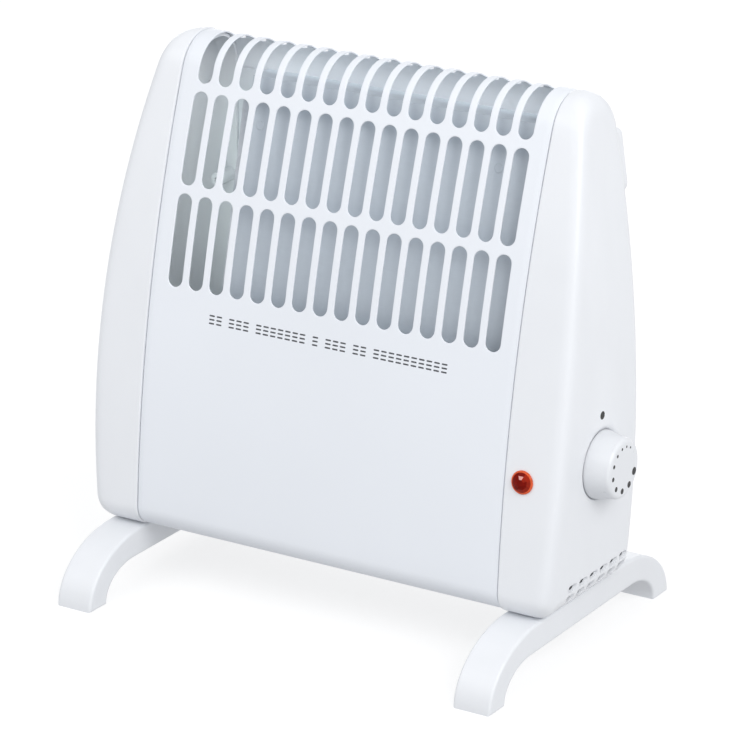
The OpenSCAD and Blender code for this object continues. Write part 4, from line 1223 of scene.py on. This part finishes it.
def lens_point(j, ring):
    """Point j of a ring of the cut middle: the outermost is round, the others have a corner per facet."""
    side, other, axis = LENS_AXES
    r, h = FACET_RINGS[ring]

    def on_circle(k, n):
        a = rad(360 * k / n + FACET_TURN)
        return side * (r * cos(a)) + other * (r * sin(a))

    k, part = divmod(j, PER_FACET)
    flat = on_circle(k, FACETS).lerp(on_circle(k + 1, FACETS), part / PER_FACET)
    return tuple(lens_at + (flat if ring else on_circle(j, LENS_SIDES)) + axis * h)


# The lens's materials by index: 0 is the rim's, with painted glow; listed facets are painted lighter where
# light falls on them, and one carries a painted highlight. Facets not listed as (ring, facet) are dark.
PAINTED_LIT = 1
PAINTED_HIGHLIGHT = 2
DARK = 3
# Facets with painted light and the one with a painted highlight
FACET_SHADES = {(1, 1): PAINTED_HIGHLIGHT, (0, 0): PAINTED_LIT, (1, 0): PAINTED_LIT, (0, 5): PAINTED_LIT, (0, 6): PAINTED_LIT, (0, 7): PAINTED_LIT}
for j in range(LENS_SIDES):
    for ring in range(len(FACET_RINGS) - 1):
        steps = ((j, ring), (j + 1, ring), (j + 1, ring + 1), (j, ring + 1))
        lens.face([lens_point(*step) for step in steps], FACET_SHADES.get((ring, j // PER_FACET), DARK))
add_piece("lens_moulding", lens.mesh(), "heater", "lens_red", ["indicator_lens"], SHARP_LENS,
          [mat_lens_rim_painted_glow, mat_lens_painted_lit, mat_lens_painted_highlight, LOOKS["lens_red"]])

# ---- stage, light and camera

# A pale floor that glows, so that it comes out white, and lights nothing itself
FLOOR_HALF = 6
FLOOR_GLOW = 0.68
floor_mesh = bpy.data.meshes.new("floor")
bm = bmesh.new()
bmesh.ops.create_grid(bm, x_segments=2, y_segments=2, size=FLOOR_HALF)
bm.to_mesh(floor_mesh)
bm.free()
floor = add_object("floor", floor_mesh)
mat_floor, tree, shader = new_material("pale_floor")
tree.links.new(ramp(tree, noise(tree, 3, 2), [(0.3, (0.36, 0.36, 0.36)), (0.7, (0.37, 0.37, 0.37))]),
               shader.inputs["Base Color"])
put(shader, Roughness=0.9, Specular_IOR_Level=0.1, Emission_Color=(1, 1, 1, 1), Emission_Strength=FLOOR_GLOW)
floor_mesh.materials.append(mat_floor)
floor.visible_diffuse = False

scene = bpy.context.scene
scene.view_settings.view_transform = "Standard"
scene.cycles.max_bounces = 16
scene.cycles.diffuse_bounces = 12

# Studio surroundings, dimmer below the horizon than above it: (height from 0 at the bottom to 1, colour)
SKY = (
    (0.0, (0.58, 0.59, 0.61)),
    (0.46, (0.64, 0.65, 0.67)),
    (0.52, (0.84, 0.85, 0.87)),
    (1.0, (0.74, 0.75, 0.77)),
)
SKY_STRENGTH = 0.92
world = bpy.data.worlds.new("studio")
scene.world = world
world.use_nodes = True
tree = world.node_tree
direction = tree.nodes.new("ShaderNodeTexCoord")
height = tree.nodes.new("ShaderNodeSeparateXYZ")
tree.links.new(direction.outputs["Generated"], height.inputs["Vector"])
sky = ramp(tree, spread(tree, height.outputs["Z"], 0.0, 1.0, -1.0, 1.0), SKY)
background = tree.nodes["Background"]
tree.links.new(sky, background.inputs["Color"])
put(background, Strength=SKY_STRENGTH)

OPEN = 180


def softbox(name, at, target, size, power, colour=(1, 1, 1), opening=OPEN):
    """A lamp of a size in metres that points at target; one with a narrowed opening gives no highlights."""
    light = bpy.data.lights.new(name, "AREA")
    light.shape = "RECTANGLE"
    light.size, light.size_y = size
    light.energy = power
    light.color = colour
    light.spread = rad(opening)
    obj = add_object(name, light)
    obj.location = at
    obj.rotation_euler = (Vector(target) - Vector(at)).to_track_quat("-Z", "Y").to_euler()
    obj.visible_camera = False
    obj.visible_glossy = opening == OPEN


# A main light at the right, a weaker one at the left, and a low weak one behind
AIM = (0, 0, 0.12)
softbox("key_right", at=(2.0, -1.0, 1.7), target=AIM, size=(1.8, 1.5), power=38)
softbox("key_left", at=(-0.9, -1.7, 1.7), target=AIM, size=(1.8, 1.4), power=13)
softbox("fill_rear", at=(-1.3, 2.2, 0.4), target=AIM, size=(1.8, 0.7), power=9)
# Weak lights inside the casing, behind the leftmost slots and under its top
softbox("fill_left_bay", at=place(-84, -3, 188), target=place(-86, 40, 182), size=(0.024, 0.105),
        power=0.010, colour=(0.88, 1.0, 0.95), opening=150)
softbox("fill_top_bay", at=place(12, 11, 266), target=place(12, 40, 253), size=(0.17, 0.006),
        power=0.0045, colour=(0.88, 0.97, 1.0), opening=110)

CAMERA_AT = (957.63, -1535.49, 778.20)
CAMERA_LOOK = (-0.4971, 0.7981, -0.3405)
CAMERA_LENS = 193.9
CAMERA_SENSOR = 36
camera_data = bpy.data.cameras.new("camera")
camera_data.lens = CAMERA_LENS
camera_data.sensor_width = CAMERA_SENSOR
camera_data.clip_start, camera_data.clip_end = 0.1, 60
camera = add_object("camera", camera_data)
camera.location = place(*CAMERA_AT)
camera.rotation_euler = Vector(CAMERA_LOOK).to_track_quat("-Z", "Y").to_euler()
scene.camera = camera
